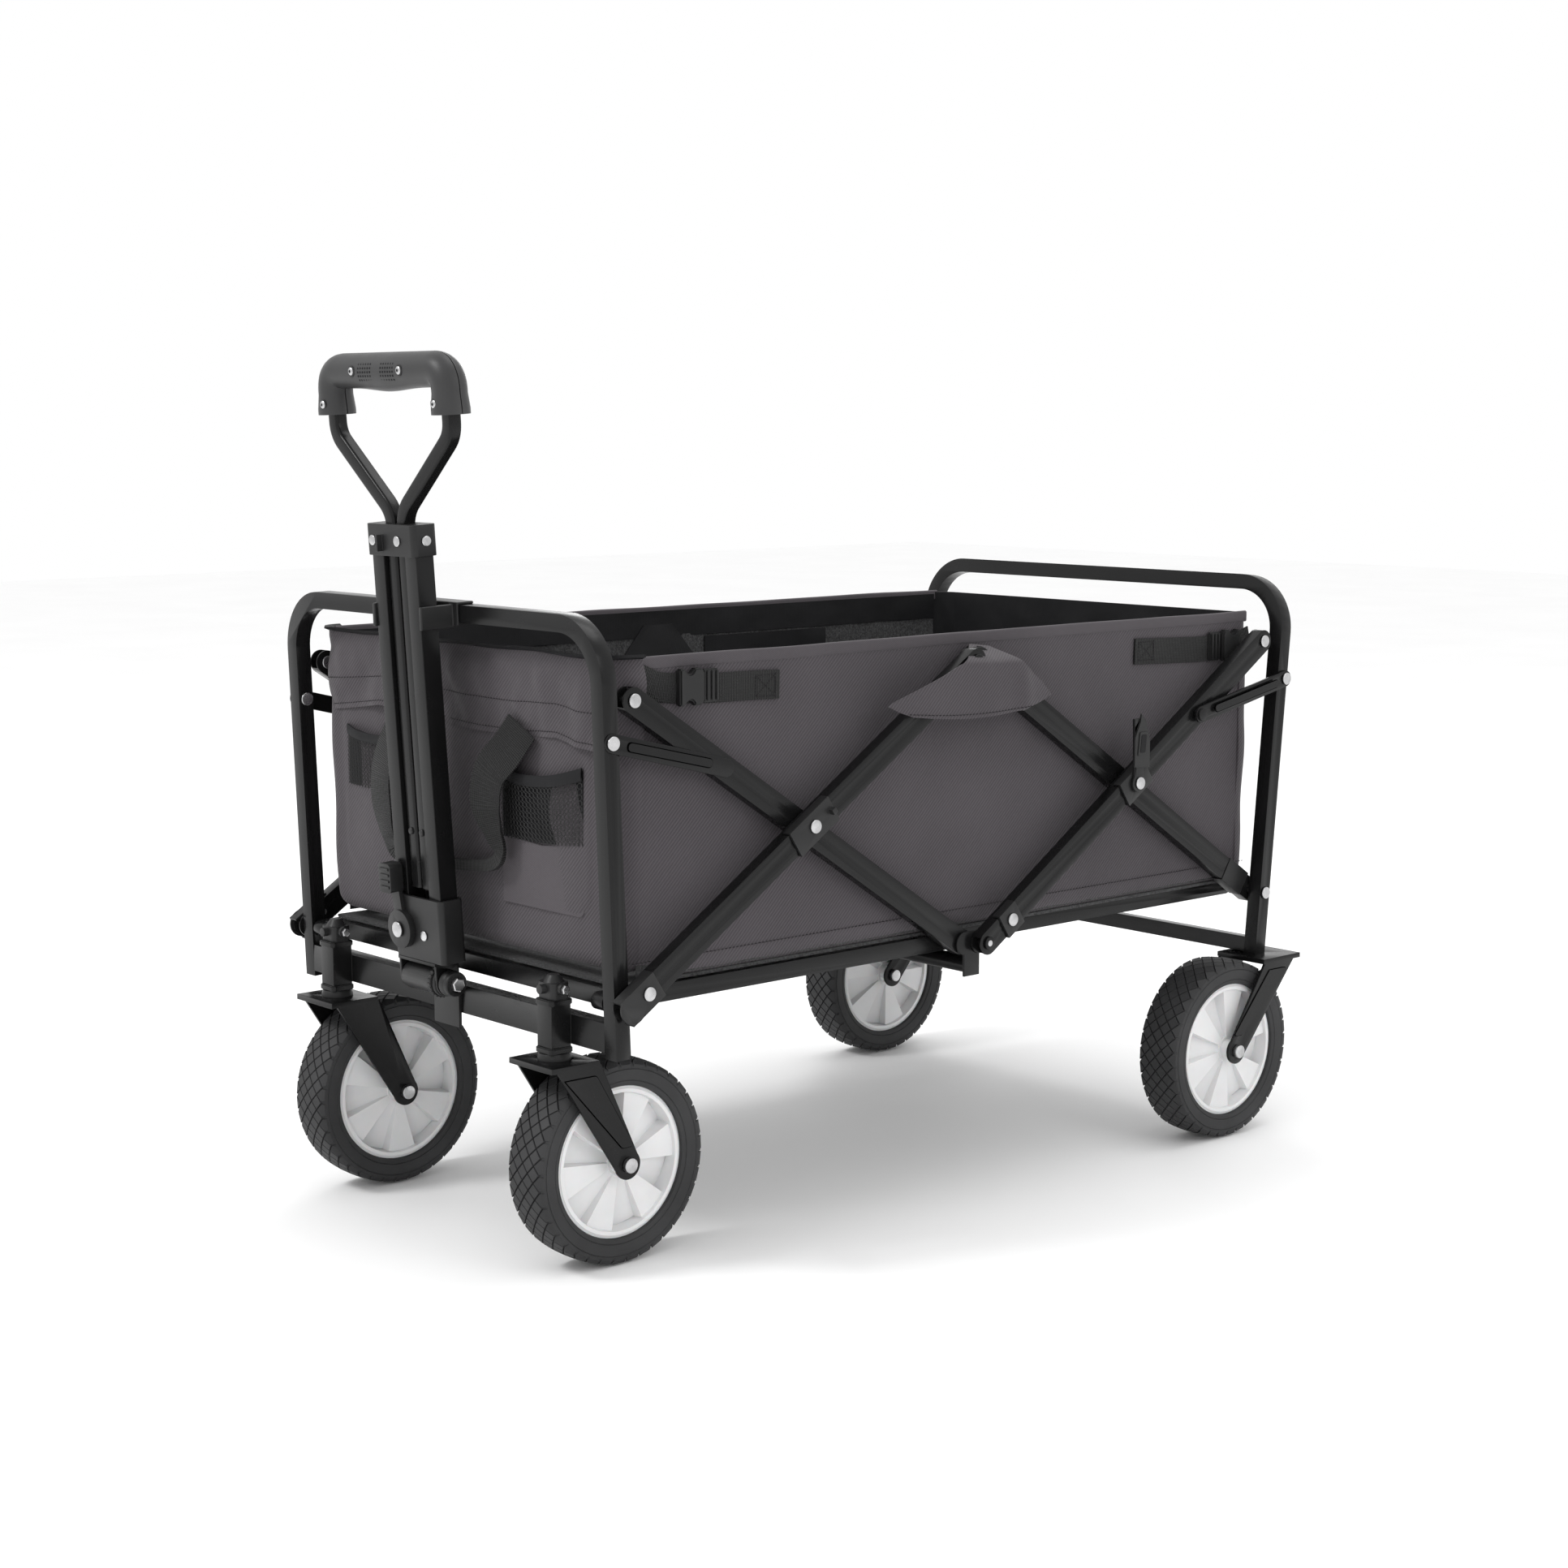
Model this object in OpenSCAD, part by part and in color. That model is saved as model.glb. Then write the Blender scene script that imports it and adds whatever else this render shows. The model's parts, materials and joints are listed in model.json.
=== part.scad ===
// Folding wagon: fabric tub, scissor side frame, swivelling front wheels and a telescoping pull handle.
// The wagon stands open on z = 0. X runs across it, Y runs along it with the handle at -Y, Z is up.

/* [Wheels] */
// Outer diameter of each tyre
wheel_d = 178; // [170:1:182]
// Width of each tyre
wheel_w = 46; // [40:1:48]
// Distance between the front wheels' middles
front_track = 334; // [326:1:340]
// How far the front axles trail behind their swivel pins
trail = 54; // [48:1:56]
// How far the rear axles sit ahead of the rear pivots
rear_axle_set = 67; // [60:1:70]

/* [Scissor arms] */
// Length of each half of an arm, from pivot to crossing
arm_half = 237.5; // [232:0.5:240]
// Slope of the arms with the wagon open, in degrees
arm_slope = 33.2; // [32:0.1:34]
// Slope of the arms with the wagon folded, in degrees
folded_slope = 86; // [84:0.5:86]
// Width of the flat arm tube
arm_w = 22; // [20:0.5:22]
// Thickness of the flat arm tube
arm_t = 12; // [11:0.5:12]
// Height of the lower pivots above the ground
pivot_z = 238; // [236:1:240]

/* [End frames] */
// Side of the square frame tube
tube = 15; // [14:0.5:15]
// Wall of every steel tube
wall = 1.3; // [1:0.1:1.5]
// Height of the top rails above the ground
frame_top = 557; // [550:1:565]
// Distance of the front posts' middles from the centre plane
front_half_w = 230; // [229:0.5:231]
// Distance of the rear posts' middles from the centre plane
rear_half_w = 246; // [245.5:0.5:247]
// Radius of the bends in the top corners
bend_r = 48; // [42:1:54]
// Outward lean of the front frame, in degrees
front_lean = 2.2; // [1.5:0.1:2.6]
// Outward lean of the rear frame, in degrees
rear_lean = 5.2; // [4:0.1:6]

/* [Tub] */
// Half of the width over the side panels
tub_half_w = 221; // [219:0.5:221]
// Height of the rim above the ground
rim_z = 519; // [512:1:522]
// Thickness of the fabric with its lining and padding
panel_t = 4; // [3:0.5:4]

/* [Handle] */
// Forward lean of the upright handle, in degrees
handle_lean = 3.6; // [2.5:0.1:4.5]
// Distance from the handle pivot to the middle of the grip bar
grip_s = 528; // [520:1:535]
// Half of the distance between the grip's two legs
grip_half_w = 86; // [80:1:90]
// Radius of the round grip
grip_r = 15; // [14:0.5:16]
// Distance from the handle pivot to the top of the collar
collar_s = 399; // [390:1:405]

/* [Hidden] */
$fn = 48;
pin_r = 3.5;
axle_r = 5;
run = 0.06;                          // radial clearance of every turning fit
head_r = 6;
axle_head_r = 6.5;
head_h = 2;
span = arm_half * cos(arm_slope);
rise = arm_half * sin(arm_slope);
lap = 9;                             // half of the distance between the two pivots of a centre bracket
mid_y = 18;                          // centres the whole wagon, with its handle, on the origin
front_y = mid_y - 2 * span - lap;
rear_y = mid_y + 2 * span + lap;
cross_z = pivot_z + rise;
cross_y = span + lap;                // distance of each crossing from mid_y
tip_z = pivot_z + 2 * rise;
front_tip = 218;                     // upper half of the inner front arm
rear_tip = 228;                      // upper half of the outer rear arm
inner_x = front_half_w - arm_t / 2;  // arms and front posts in the inner plane
outer_x = inner_x + 15;              // arms and rear posts in the outer plane
plate_x = 236.3;
plate_t = 2.4;                       // centre bracket plates, in the gap between the planes
wheel_r = wheel_d / 2;
swivel_y = front_y - 16.5;
front_axle_y = swivel_y + trail;
rear_axle_y = rear_y - rear_axle_set;
fork_z = wheel_d + 1;                // underside of the swivelling fork plates, just over their wheels
rear_fork_z = 171;                   // the rear plates stand clear behind their wheels
fork_plate_t = 5;
fork_in = 27;                        // half of the gap between a fork's legs
fork_t = 3;
rail_x = 213;                        // outer floor rails of the front half; the rear ones lap inside
inner_rail_x = 70;
rail_lap = 17;
rail_end = 12;                       // how far the floor rails of the two halves lap
floor_z = pivot_z + tube / 2 + 0.5;  // underside of the fabric floor
hinge_y = front_y - 23;              // handle pivot
hinge_z = 227;
front_wall_y = front_y + 12.2;
rear_wall_y = rear_y - 8;

// Where a point at distance r from a crossing, on an arm of slope a, lies from the frame pivot
function link_near(q, a) = (arm_half - q) * cos(a);
function link_up(q, a) = (arm_half + q) * sin(a);
// Height above the frame pivot at which a link closes both open and folded, s outside the pivot
function link_height(q, s) =
  (pow(link_near(q, folded_slope) + s, 2) + pow(link_up(q, folded_slope), 2)
   - pow(link_near(q, arm_slope) + s, 2) - pow(link_up(q, arm_slope), 2))
  / (2 * (link_up(q, folded_slope) - link_up(q, arm_slope)));
front_q = 103;                       // link pin's distance from the front crossing
rear_q = 108;
front_link_s = 8;
rear_link_s = 21;
front_link_h = link_height(front_q, front_link_s);
rear_link_h = link_height(rear_q, rear_link_s);

steel = [0.07, 0.07, 0.072];
plastic = [0.10, 0.10, 0.103];
zinc = [0.75, 0.75, 0.76];
cloth = [0.30, 0.285, 0.30];

// Both sides of the wagon
module both_sides() {
  children();
  mirror([1, 0, 0]) children();
}
// Solid bar along X
module pin(x0, x1, y, z, r) {
  translate([x0, y, z]) rotate([0, 90, 0]) cylinder(r = r, h = x1 - x0);
}
// Rivet along X with a flat head at each end
module rivet(x0, x1, y, z) {
  pin(x0, x1, y, z, pin_r);
  pin(x0 - head_h, x0, y, z, head_r);
  pin(x1, x1 + head_h, y, z, head_r);
}
// Extrudes an outline drawn in Y and Z along X, from x0
module across(x0, t) {
  translate([x0, 0, 0]) rotate([90, 0, 90]) linear_extrude(t) children();
}
// Stretch between two points with round ends
module bar2d(p, q, w) {
  d = q - p;
  translate(p) rotate(atan2(d[1], d[0])) {
    translate([0, -w / 2]) square([norm(d), w]);
    circle(w / 2);
    translate([norm(d), 0]) circle(w / 2);
  }
}
// Rectangle with round corners, about its middle
module round_rect(w, h, r) {
  square([w - 2 * r, h], center = true);
  square([w, h - 2 * r], center = true);
  for (x = [-1, 1], y = [-1, 1]) translate([x * (w / 2 - r), y * (h / 2 - r)]) circle(r);
}
// Section of the frame tube
module tube_section(s = tube) {
  difference() {
    square(s, center = true);
    square(s - 2 * wall, center = true);
  }
}
// Frame tube along X between two places
module tube_x(x0, x1, y, z) {
  translate([x0, y, z]) rotate([90, 0, 90]) linear_extrude(x1 - x0) tube_section();
}
// Frame tube along Y between two places
module tube_y(x, y0, y1, z) {
  translate([x, y1, z]) rotate([90, 0, 0]) linear_extrude(y1 - y0) tube_section();
}
// Flat hollow arm: pivot at [y, z], round ends, pin holes at the distances listed, each with its radius
module arm(x0, y, z, slope, length, holes) {
  translate([x0, y, z]) rotate([slope, 0, 0]) difference() {
    union() {
      translate([0, 0, -arm_w / 2]) cube([arm_t, length, arm_w]);
      for (s = [0, length]) pin(0, arm_t, s, 0, arm_w / 2);
    }
    translate([wall, -arm_w, -arm_w / 2 + wall])
      cube([arm_t - 2 * wall, length + 2 * arm_w, arm_w - 2 * wall]);
    for (h = holes) pin(-1, arm_t + 1, h[0], 0, h[1]);
  }
}
// Plastic saddle over the outer face of an arm, about distance s along it; its rivet hole is hole_s on
module saddle(y, z, slope, s, length, x_in, hole_s = 0) {
  lip = 1.6;
  cover_t = 2.5;
  face = outer_x + arm_t;
  translate([0, y, z]) rotate([slope, 0, 0]) translate([0, s, 0]) difference() {
    translate([x_in, -length / 2, -arm_w / 2 - lip])
      cube([face + cover_t - x_in, length, arm_w + 2 * lip]);
    translate([x_in - 1, -length, -arm_w / 2]) cube([face + 1 - x_in, 2 * length, arm_w]);
    pin(outer_x, face + cover_t + 1, hole_s, 0, pin_r);
  }
}
// Rivet that holds a saddle, with its head over it, at distance s along the arm from [y, z]
module saddle_rivet(y, z, slope, s) {
  head_x = outer_x + arm_t + 2.6;
  translate([0, y, z]) rotate([slope, 0, 0]) {
    pin(outer_x + 0.2, head_x, s, 0, pin_r);
    pin(head_x, head_x + head_h, s, 0, head_r);
  }
}

// ---- End frames ----
module front_place() {
  translate([0, front_y, pivot_z]) rotate([front_lean, 0, 0]) children();
}
module rear_place() {
  translate([0, rear_y, pivot_z]) rotate([-rear_lean, 0, 0]) children();
}
// Bent hoop of square tube standing on its two posts; z runs from bottom to top about the pivot height
module hoop(half_w, bottom, top) {
  rail = top - tube / 2;
  both_sides() {
    translate([half_w, 0, bottom]) linear_extrude(rail - bend_r - bottom) tube_section();
    translate([half_w - bend_r, 0, rail - bend_r]) rotate([90, 0, 0])
      rotate_extrude(angle = 90) translate([bend_r, 0]) tube_section();
  }
  tube_x(-half_w + bend_r, half_w - bend_r, 0, rail);
}
module front_frame() {
  color(steel) difference() {
    front_place() hoop(front_half_w, -46, frame_top - pivot_z);
    both_sides() {
      pin(inner_x - 5, outer_x, front_y, pivot_z, pin_r);
      pin(inner_x - 5, outer_x, front_y - front_link_s, pivot_z + front_link_h, pin_r);
    }
  }
}
sleeve_z = fork_z + fork_plate_t + 6;
cap_z = 236;
module front_lower_rail() {
  rail_h = 12.5;
  sleeve = 20;
  half = front_half_w - tube / 2;
  color(steel) difference() {
    union() {
      for (z = [203.25, 203.25 + rail_h]) translate([-half, front_y + 1 - tube / 2, z - rail_h / 2])
        difference() {
          cube([2 * half, tube, rail_h]);
          translate([-1, wall, wall]) cube([2 * half + 2, tube - 2 * wall, rail_h - 2 * wall]);
        }
      both_sides() translate([front_track / 2 - sleeve / 2, swivel_y - sleeve / 2, sleeve_z])
        cube([sleeve, sleeve, cap_z - sleeve_z]);
    }
    both_sides() translate([front_track / 2, swivel_y, sleeve_z - 1])
      cylinder(r = axle_r + run, h = 60);
  }
}
module caster_caps() {
  base = 14;
  color(plastic) both_sides() translate([front_track / 2, swivel_y, cap_z]) difference() {
    union() {
      linear_extrude(base) round_rect(22, 19, 5);
      translate([0, 0, base]) cylinder(r1 = 9, r2 = 5, h = 6);
      pin(-15, 15, 0, 9, 5);
      rotate([0, 0, 90]) pin(-15, 8, 0, 9, 4);
    }
    translate([0, 0, -1]) cylinder(r = axle_r + 1.5, h = 8);
  }
}
module rear_frame() {
  low = 184 - pivot_z;
  foot = rear_fork_z + fork_plate_t;
  color(steel) difference() {
    union() {
      rear_place() hoop(rear_half_w, foot - pivot_z - 2, frame_top - pivot_z);
      rear_place() tube_x(-rear_half_w + tube / 2, rear_half_w - tube / 2, 0, low);
    }
    translate([-300, rear_y - 50, foot - 20]) cube([600, 100, 20]);
    both_sides() {
      pin(inner_x, outer_x + 20, rear_y, pivot_z, pin_r);
      pin(inner_x, outer_x + 20, rear_y + rear_link_s, pivot_z + rear_link_h, pin_r);
    }
  }
}

// ---- Wheels and casters ----
// Outline of one fork leg in Y and Z, from the plate at the origin down and along to the axle
module leg_outline(reach, drop) {
  dir = sign(reach);
  translate([reach, -drop]) circle(13);
  top = [[-dir * 20, 2], [dir * 26, 2]];
  polygon(concat(top, [[reach + dir * 12, -drop + 4], [reach - dir * 11, -drop - 6]]));
}
// Fork with its plate's middle at [x, y]; the axle lies at distance reach along Y
module fork(x, y, z, reach, plate_half) {
  translate([x, y, z]) difference() {
    union() {
      translate([-fork_in - fork_t, -plate_half, 0])
        cube([2 * (fork_in + fork_t), 2 * plate_half, fork_plate_t]);
      for (side = [-1, 1]) translate([side * (fork_in + fork_t / 2) - fork_t / 2, 0, 0])
        across(0, fork_t) leg_outline(reach, z - wheel_r);
    }
    translate([0, 0, -1]) cylinder(r = axle_r, h = 8);
    pin(-40, 40, reach, wheel_r - z, axle_r);
  }
}
module caster_fork(side) {
  color(steel) fork(side * front_track / 2, swivel_y, fork_z, trail, 25);
}
// Axle bolt with a head outside each fork leg
module axle(x, y) {
  outer = fork_in + fork_t;
  head = 5;
  pin(x - outer, x + outer, y, wheel_r, axle_r);
  pin(x - outer - head, x - outer, y, wheel_r, axle_head_r);
  pin(x + outer, x + outer + head, y, wheel_r, axle_head_r);
}
// Swivel pin with its flange, and the front wheel's axle
module caster_pins(side) {
  x = side * front_track / 2;
  color(zinc) {
    translate([x, swivel_y, fork_z - 3]) cylinder(r = 9, h = 3);
    translate([x, swivel_y, fork_z]) cylinder(r = axle_r, h = cap_z - fork_z + 4);
    translate([x, swivel_y, fork_z + fork_plate_t]) cylinder(r = 12, h = 5.5);
    axle(x, front_axle_y);
  }
}
module tyre_profile() {
  round_r = 9;
  inner = 66;
  translate([inner, -wheel_w / 2 + 2]) square([wheel_r - inner - round_r, wheel_w - 4]);
  translate([wheel_r - round_r - 1, -wheel_w / 2 + round_r])
    square([round_r + 1, wheel_w - 2 * round_r]);
  for (s = [-1, 1]) translate([wheel_r - round_r, s * (wheel_w / 2 - round_r)]) circle(round_r);
}
module tyre(x, y) {
  color([0.12, 0.12, 0.12]) translate([x, y, wheel_r]) rotate([0, 90, 0])
    rotate_extrude($fn = 96) tyre_profile();
}
// Moulded hub: rim, thin web, raised wedges and a boss with the axle bore
module hub(x, y) {
  rim_r = 66;
  rim_in = 60;
  half_t = 19;
  web = 12;
  wedges = 6;
  color([0.9, 0.9, 0.9]) translate([x, y, wheel_r]) rotate([0, 90, 0]) difference() {
    union() {
      translate([0, 0, -half_t]) linear_extrude(2 * half_t) difference() {
        circle(rim_r, $fn = 96);
        circle(rim_in, $fn = 96);
      }
      translate([0, 0, -web]) cylinder(r = rim_in + 1, h = 2 * web);
      for (i = [0 : wedges - 1]) rotate([0, 0, i * 360 / wedges]) translate([0, 0, -web - 3])
        linear_extrude(2 * web + 6) polygon([[14, -3], [56, -14], [56, 14], [14, 3]]);
      translate([0, 0, -26]) cylinder(r = 15, h = 52);
    }
    translate([0, 0, -30]) cylinder(r = axle_r + run, h = 60);
  }
}
module rear_forks() {
  plate_back = 2;
  color(steel) both_sides()
    fork(rear_half_w, rear_y + plate_back, rear_fork_z, -rear_axle_set - plate_back, 29);
}

// ---- Scissor arms ----
fixed_hole = pin_r;
free_hole = pin_r + run;
cap_rivet_s = 19;                    // rivet of the lower cap on each front outer arm
knuckle_s = 34;                      // rivet of the knuckle on each rear outer arm
hook_s = 22;                         // latch hook's distance beyond the front crossing
latch_swing = 12;                    // how far the latch tab swings onto the hook, in degrees
module front_outer_arms() {
  color(steel) both_sides() arm(outer_x, front_y, pivot_z, arm_slope, 2 * arm_half,
    [[0, free_hole], [cap_rivet_s, fixed_hole], [arm_half, fixed_hole], [2 * arm_half, free_hole]]);
}
module front_inner_arms() {
  color(steel) both_sides() arm(inner_x, mid_y - lap, pivot_z, 180 - arm_slope, arm_half + front_tip,
    [[0, free_hole], [arm_half, free_hole], [arm_half + front_tip, fixed_hole]]);
}
module rear_outer_arms() {
  color(steel) both_sides() arm(outer_x, mid_y + lap, pivot_z, arm_slope, arm_half + rear_tip,
    [[0, free_hole], [knuckle_s, fixed_hole], [arm_half, fixed_hole],
     [arm_half + rear_tip, fixed_hole]]);
}
module rear_inner_arms() {
  color(steel) both_sides() arm(inner_x, rear_y, pivot_z, 180 - arm_slope, 2 * arm_half,
    [[0, free_hole], [arm_half, free_hole], [2 * arm_half, free_hole]]);
}
module front_arm_caps() {
  color(plastic) both_sides() difference() {
    union() {
      saddle(front_y, pivot_z, arm_slope, 12, 40, outer_x + 3, cap_rivet_s - 12);
      pin(outer_x + arm_t + 0.8, outer_x + arm_t + 2.5, front_y, pivot_z, 13);
    }
    pin(outer_x, outer_x + arm_t + 1.2, front_y, pivot_z, pin_r + 1);
    translate([0, front_y, pivot_z]) rotate([arm_slope, 0, 0])
      pin(outer_x, outer_x + 20, cap_rivet_s, 0, pin_r);
  }
}
module front_cross_covers() {
  hook = 5;
  color(plastic) both_sides() {
    saddle(front_y, pivot_z, arm_slope, arm_half, 52, outer_x + 5);
    translate([outer_x + arm_t + 2, mid_y - cross_y, cross_z]) rotate([arm_slope, 0, 0])
      translate([0, hook_s - hook / 2, -hook / 2]) cube([6, hook, hook]);
  }
}
module front_cross_rivets() {
  color(zinc) both_sides() {
    rivet(inner_x - 0.4, outer_x + arm_t + 2.6, mid_y - cross_y, cross_z);
    saddle_rivet(front_y, pivot_z, arm_slope, cap_rivet_s);
  }
}
module front_tip_rivets() {
  color(zinc) both_sides() rivet(inner_x - 0.4, inner_x + arm_t + 0.3,
    mid_y - cross_y - front_tip * cos(arm_slope), cross_z + front_tip * sin(arm_slope));
}
module rear_cross_covers() {
  color(plastic) both_sides() saddle(mid_y + lap, pivot_z, arm_slope, arm_half, 40, outer_x + 5);
}
// The rear crossing's rivets are long enough to carry the latch tab
module rear_cross_rivets() {
  color(zinc) both_sides() {
    rivet(inner_x - 0.4, latch_x + latch_t + 0.2, mid_y + cross_y, cross_z);
    rivet(outer_x - 0.5, outer_x + arm_t + 0.3,
      mid_y + cross_y + rear_tip * cos(arm_slope), cross_z + rear_tip * sin(arm_slope));
    saddle_rivet(mid_y + lap, pivot_z, arm_slope, knuckle_s);
  }
}
module rear_arm_knuckles() {
  color(plastic) both_sides() saddle(mid_y + lap, pivot_z, arm_slope, knuckle_s, 24, outer_x + 5);
}
module rear_arm_caps() {
  lip = 1.3;
  color(plastic) both_sides() translate([0, rear_y, pivot_z]) rotate([180 - arm_slope, 0, 0])
  difference() {
    translate([inner_x - 0.8, 15, -arm_w / 2 - lip]) cube([arm_t + 1.6, 34, arm_w + 2 * lip]);
    translate([inner_x, 0, -arm_w / 2]) cube([arm_t, 60, arm_w]);
  }
}
// Plate between the two planes of arms with one stud each way; the outer arm's stud is at y_out
module centre_plate(y_in, y_out, z) {
  across(plate_x, plate_t) bar2d([y_in, z], [y_out, z], 21);
  pin(inner_x - 0.4, plate_x + 1, y_in, z, pin_r);
  pin(inner_x - 1.9, inner_x - 0.4, y_in, z, head_r);
  pin(plate_x + 1, outer_x + arm_t + 0.4, y_out, z, pin_r);
  pin(outer_x + arm_t + 0.4, outer_x + arm_t + 2.4, y_out, z, head_r);
}
module centre_brackets() {
  color(steel) both_sides() {
    centre_plate(mid_y - lap, mid_y + lap, pivot_z);
    across(plate_x, plate_t) translate([mid_y - 10, pivot_z - 31]) square([20, 24]);
  }
}
module top_brackets() {
  color(steel) both_sides() centre_plate(mid_y + lap, mid_y - lap, tip_z);
}
module centre_tube() {
  color(steel) translate([-plate_x, mid_y, pivot_z - 21]) rotate([0, 90, 0]) difference() {
    cylinder(r = 8, h = 2 * plate_x);
    translate([0, 0, -1]) cylinder(r = 6.5, h = 2 * plate_x + 2);
  }
}
// Stamped link from a frame post to an arm, with a stud through its far end from stud_x0 to stud_x1.
// The stud only overlies the arm, so that the loop is open there.
module link(x0, t, p, q, stud_x0, stud_x1) {
  difference() {
    union() {
      across(x0, t) bar2d(p, q, 16);
      pin(stud_x0, stud_x1, q[0], q[1], head_r);
    }
    pin(x0 - 1, x0 + t + 1, p[0], p[1], pin_r + run);
  }
}
front_link_x = front_half_w + tube / 2 + 0.15;
front_link_t = 1.15;
rear_link_x = outer_x + arm_t + 3.4;
module front_links() {
  color(steel) both_sides() link(front_link_x, front_link_t,
    [front_y - front_link_s, pivot_z + front_link_h],
    [front_y + link_near(front_q, arm_slope), pivot_z + link_up(front_q, arm_slope)],
    inner_x + arm_t + 0.3, front_link_x + front_link_t);
}
module rear_links() {
  color(steel) both_sides() link(rear_link_x, plate_t,
    [rear_y + rear_link_s, pivot_z + rear_link_h],
    [rear_y - link_near(rear_q, arm_slope), pivot_z + link_up(rear_q, arm_slope)],
    outer_x + arm_t + 0.3, rear_link_x + plate_t + head_h);
}
// Tab that swings about the near rear crossing; folded, its window drops over the front cover's hook
latch_x = outer_x + arm_t + 2.8;
latch_t = 3;
module latch_tab() {
  turn = folded_slope - arm_slope;
  gap = 2 * arm_half * cos(folded_slope) + 2 * lap;
  hook = [-gap + hook_s * cos(folded_slope), hook_s * sin(folded_slope)];
  dist = norm(hook);
  slope = atan2(hook[1], hook[0]) - turn - latch_swing;
  color(plastic) translate([0, mid_y + cross_y, cross_z]) rotate([slope, 0, 0]) difference() {
    union() {
      pin(latch_x, latch_x + latch_t, 0, 0, 9);
      translate([latch_x, 0, -6.5]) cube([latch_t, dist + 8, 13]);
    }
    pin(latch_x - 1, latch_x + latch_t + 1, 0, 0, pin_r + run);
    translate([latch_x - 1, dist, 0]) rotate([45, 0, 0])
      translate([0, -4, -4]) cube([latch_t + 2, 8, 8]);
  }
}
module front_rivets() {
  inner = rail_x - tube / 2;
  color(zinc) both_sides() {
    pin(inner - 0.4, outer_x + arm_t + 0.2, front_y, pivot_z, pin_r);
    pin(inner - 1.8, inner - 0.4, front_y, pivot_z, head_r);
    rivet(front_half_w - tube / 2 - 0.3, front_link_x + front_link_t + 0.15,
      front_y - front_link_s, pivot_z + front_link_h);
  }
}
module rear_fasteners() {
  inner = rail_x - rail_lap - tube / 2;
  color(zinc) both_sides() {
    rivet(inner - 0.4, rear_half_w + tube / 2 + 0.3, rear_y, pivot_z);
    rivet(rear_half_w - tube / 2 - 0.3, rear_link_x + plate_t + 0.2,
      rear_y + rear_link_s, pivot_z + rear_link_h);
    axle(rear_half_w, rear_axle_y);
  }
}

// ---- Floor rails ----
// Half of the folding floor: two outer rails, two inner rails and a cross bar; dir is 1 for the front
module floor_half(y0, dir, out_x, in_x) {
  y1 = mid_y + dir * rail_end;
  bar_y = y0 + dir * 17.5;
  in_y = bar_y + dir * tube / 2;
  color(steel) difference() {
    union() {
      both_sides() {
        tube_y(out_x, min(y0, y1), max(y0, y1), pivot_z);
        tube_y(in_x, min(in_y, y1), max(in_y, y1), pivot_z);
        pin(out_x - tube / 2, out_x + tube / 2, y0, pivot_z, tube / 2);
      }
      tube_x(-out_x + tube / 2, out_x - tube / 2, bar_y, pivot_z);
    }
    both_sides() pin(out_x - tube, out_x + tube, y0, pivot_z, pin_r + run);
  }
}
module front_floor_rails() {
  floor_half(front_y, 1, rail_x, inner_rail_x);
}
module rear_floor_rails() {
  floor_half(rear_y, -1, rail_x - rail_lap, inner_rail_x + rail_lap);
}

// ---- Handle ----
module handle_place() {
  translate([0, hinge_y, hinge_z]) rotate([handle_lean, 0, 0]) children();
}
barrel_r = 13;
module hinge_block() {
  plate_w = 38;
  front = front_y + 1 - tube / 2 - hinge_y;
  color(plastic) translate([0, hinge_y, hinge_z]) difference() {
    union() {
      pin(-30, 12, 0, 0, barrel_r);
      translate([-plate_w / 2, front - 3, -43]) cube([plate_w, 3, 43]);
      translate([-plate_w / 2, 3, -barrel_r]) cube([plate_w - 8, front - 3, barrel_r]);
      pin(12, 15.9, 0, 0, 14);
    }
    pin(-40, 40, 0, 0, axle_r + run);
  }
}
module handle_yoke() {
  color(steel) handle_place() difference() {
    union() {
      translate([-33.5, -barrel_r, 16]) cube([57, 2 * barrel_r, 3]);
      for (x = [-33.5, 20.5]) {
        translate([x, -12, 0]) cube([3, 24, 16]);
        pin(x, x + 3, 0, 0, 12);
      }
    }
    pin(-40, 40, 0, 0, axle_r);
  }
}
module handle_bolt() {
  color(plastic) handle_place() {
    pin(-33.5, 23.5, 0, 0, axle_r);
    pin(-38, -33.5, 0, 0, 9);
    pin(23.5, 36, 0, 0, 11);
    difference() {
      pin(16.1, 20.5, 0, 0, barrel_r);
      pin(16, 21, 0, 0, axle_r);
    }
  }
}
side_tube_x = 24.5;                  // middle of each outer handle tube
side_tube = [17, 18];
module handle_socket() {
  color(plastic) handle_place() difference() {
    translate([0, 0, 19]) linear_extrude(56) round_rect(74, 25, 5);
    both_sides() translate([side_tube_x, 0, 70]) cube([side_tube[0], side_tube[1], 60], center = true);
    translate([0, 0, 70]) cube([32, 18, 60], center = true);
  }
}
module handle_outer_tubes() {
  color(steel) handle_place() both_sides() translate([side_tube_x, 0, 40]) linear_extrude(collar_s - 43)
    difference() {
      square(side_tube, center = true);
      square([side_tube[0] - 2 * wall, side_tube[1] - 2 * wall], center = true);
    }
}
module handle_collar() {
  color(plastic) handle_place() translate([0, 0, collar_s - 27]) difference() {
    union() {
      linear_extrude(27) round_rect(73, 25, 6);
      translate([-14, -18, 4]) cube([3, 6, 14]);
    }
    translate([0, 0, -1]) linear_extrude(25) square([66, 18], center = true);
    translate([0, 0, -1]) linear_extrude(30) square([31, 13], center = true);
  }
}
lever_x = -20;
lever_z = 45;
lever_stud_r = 4;
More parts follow.
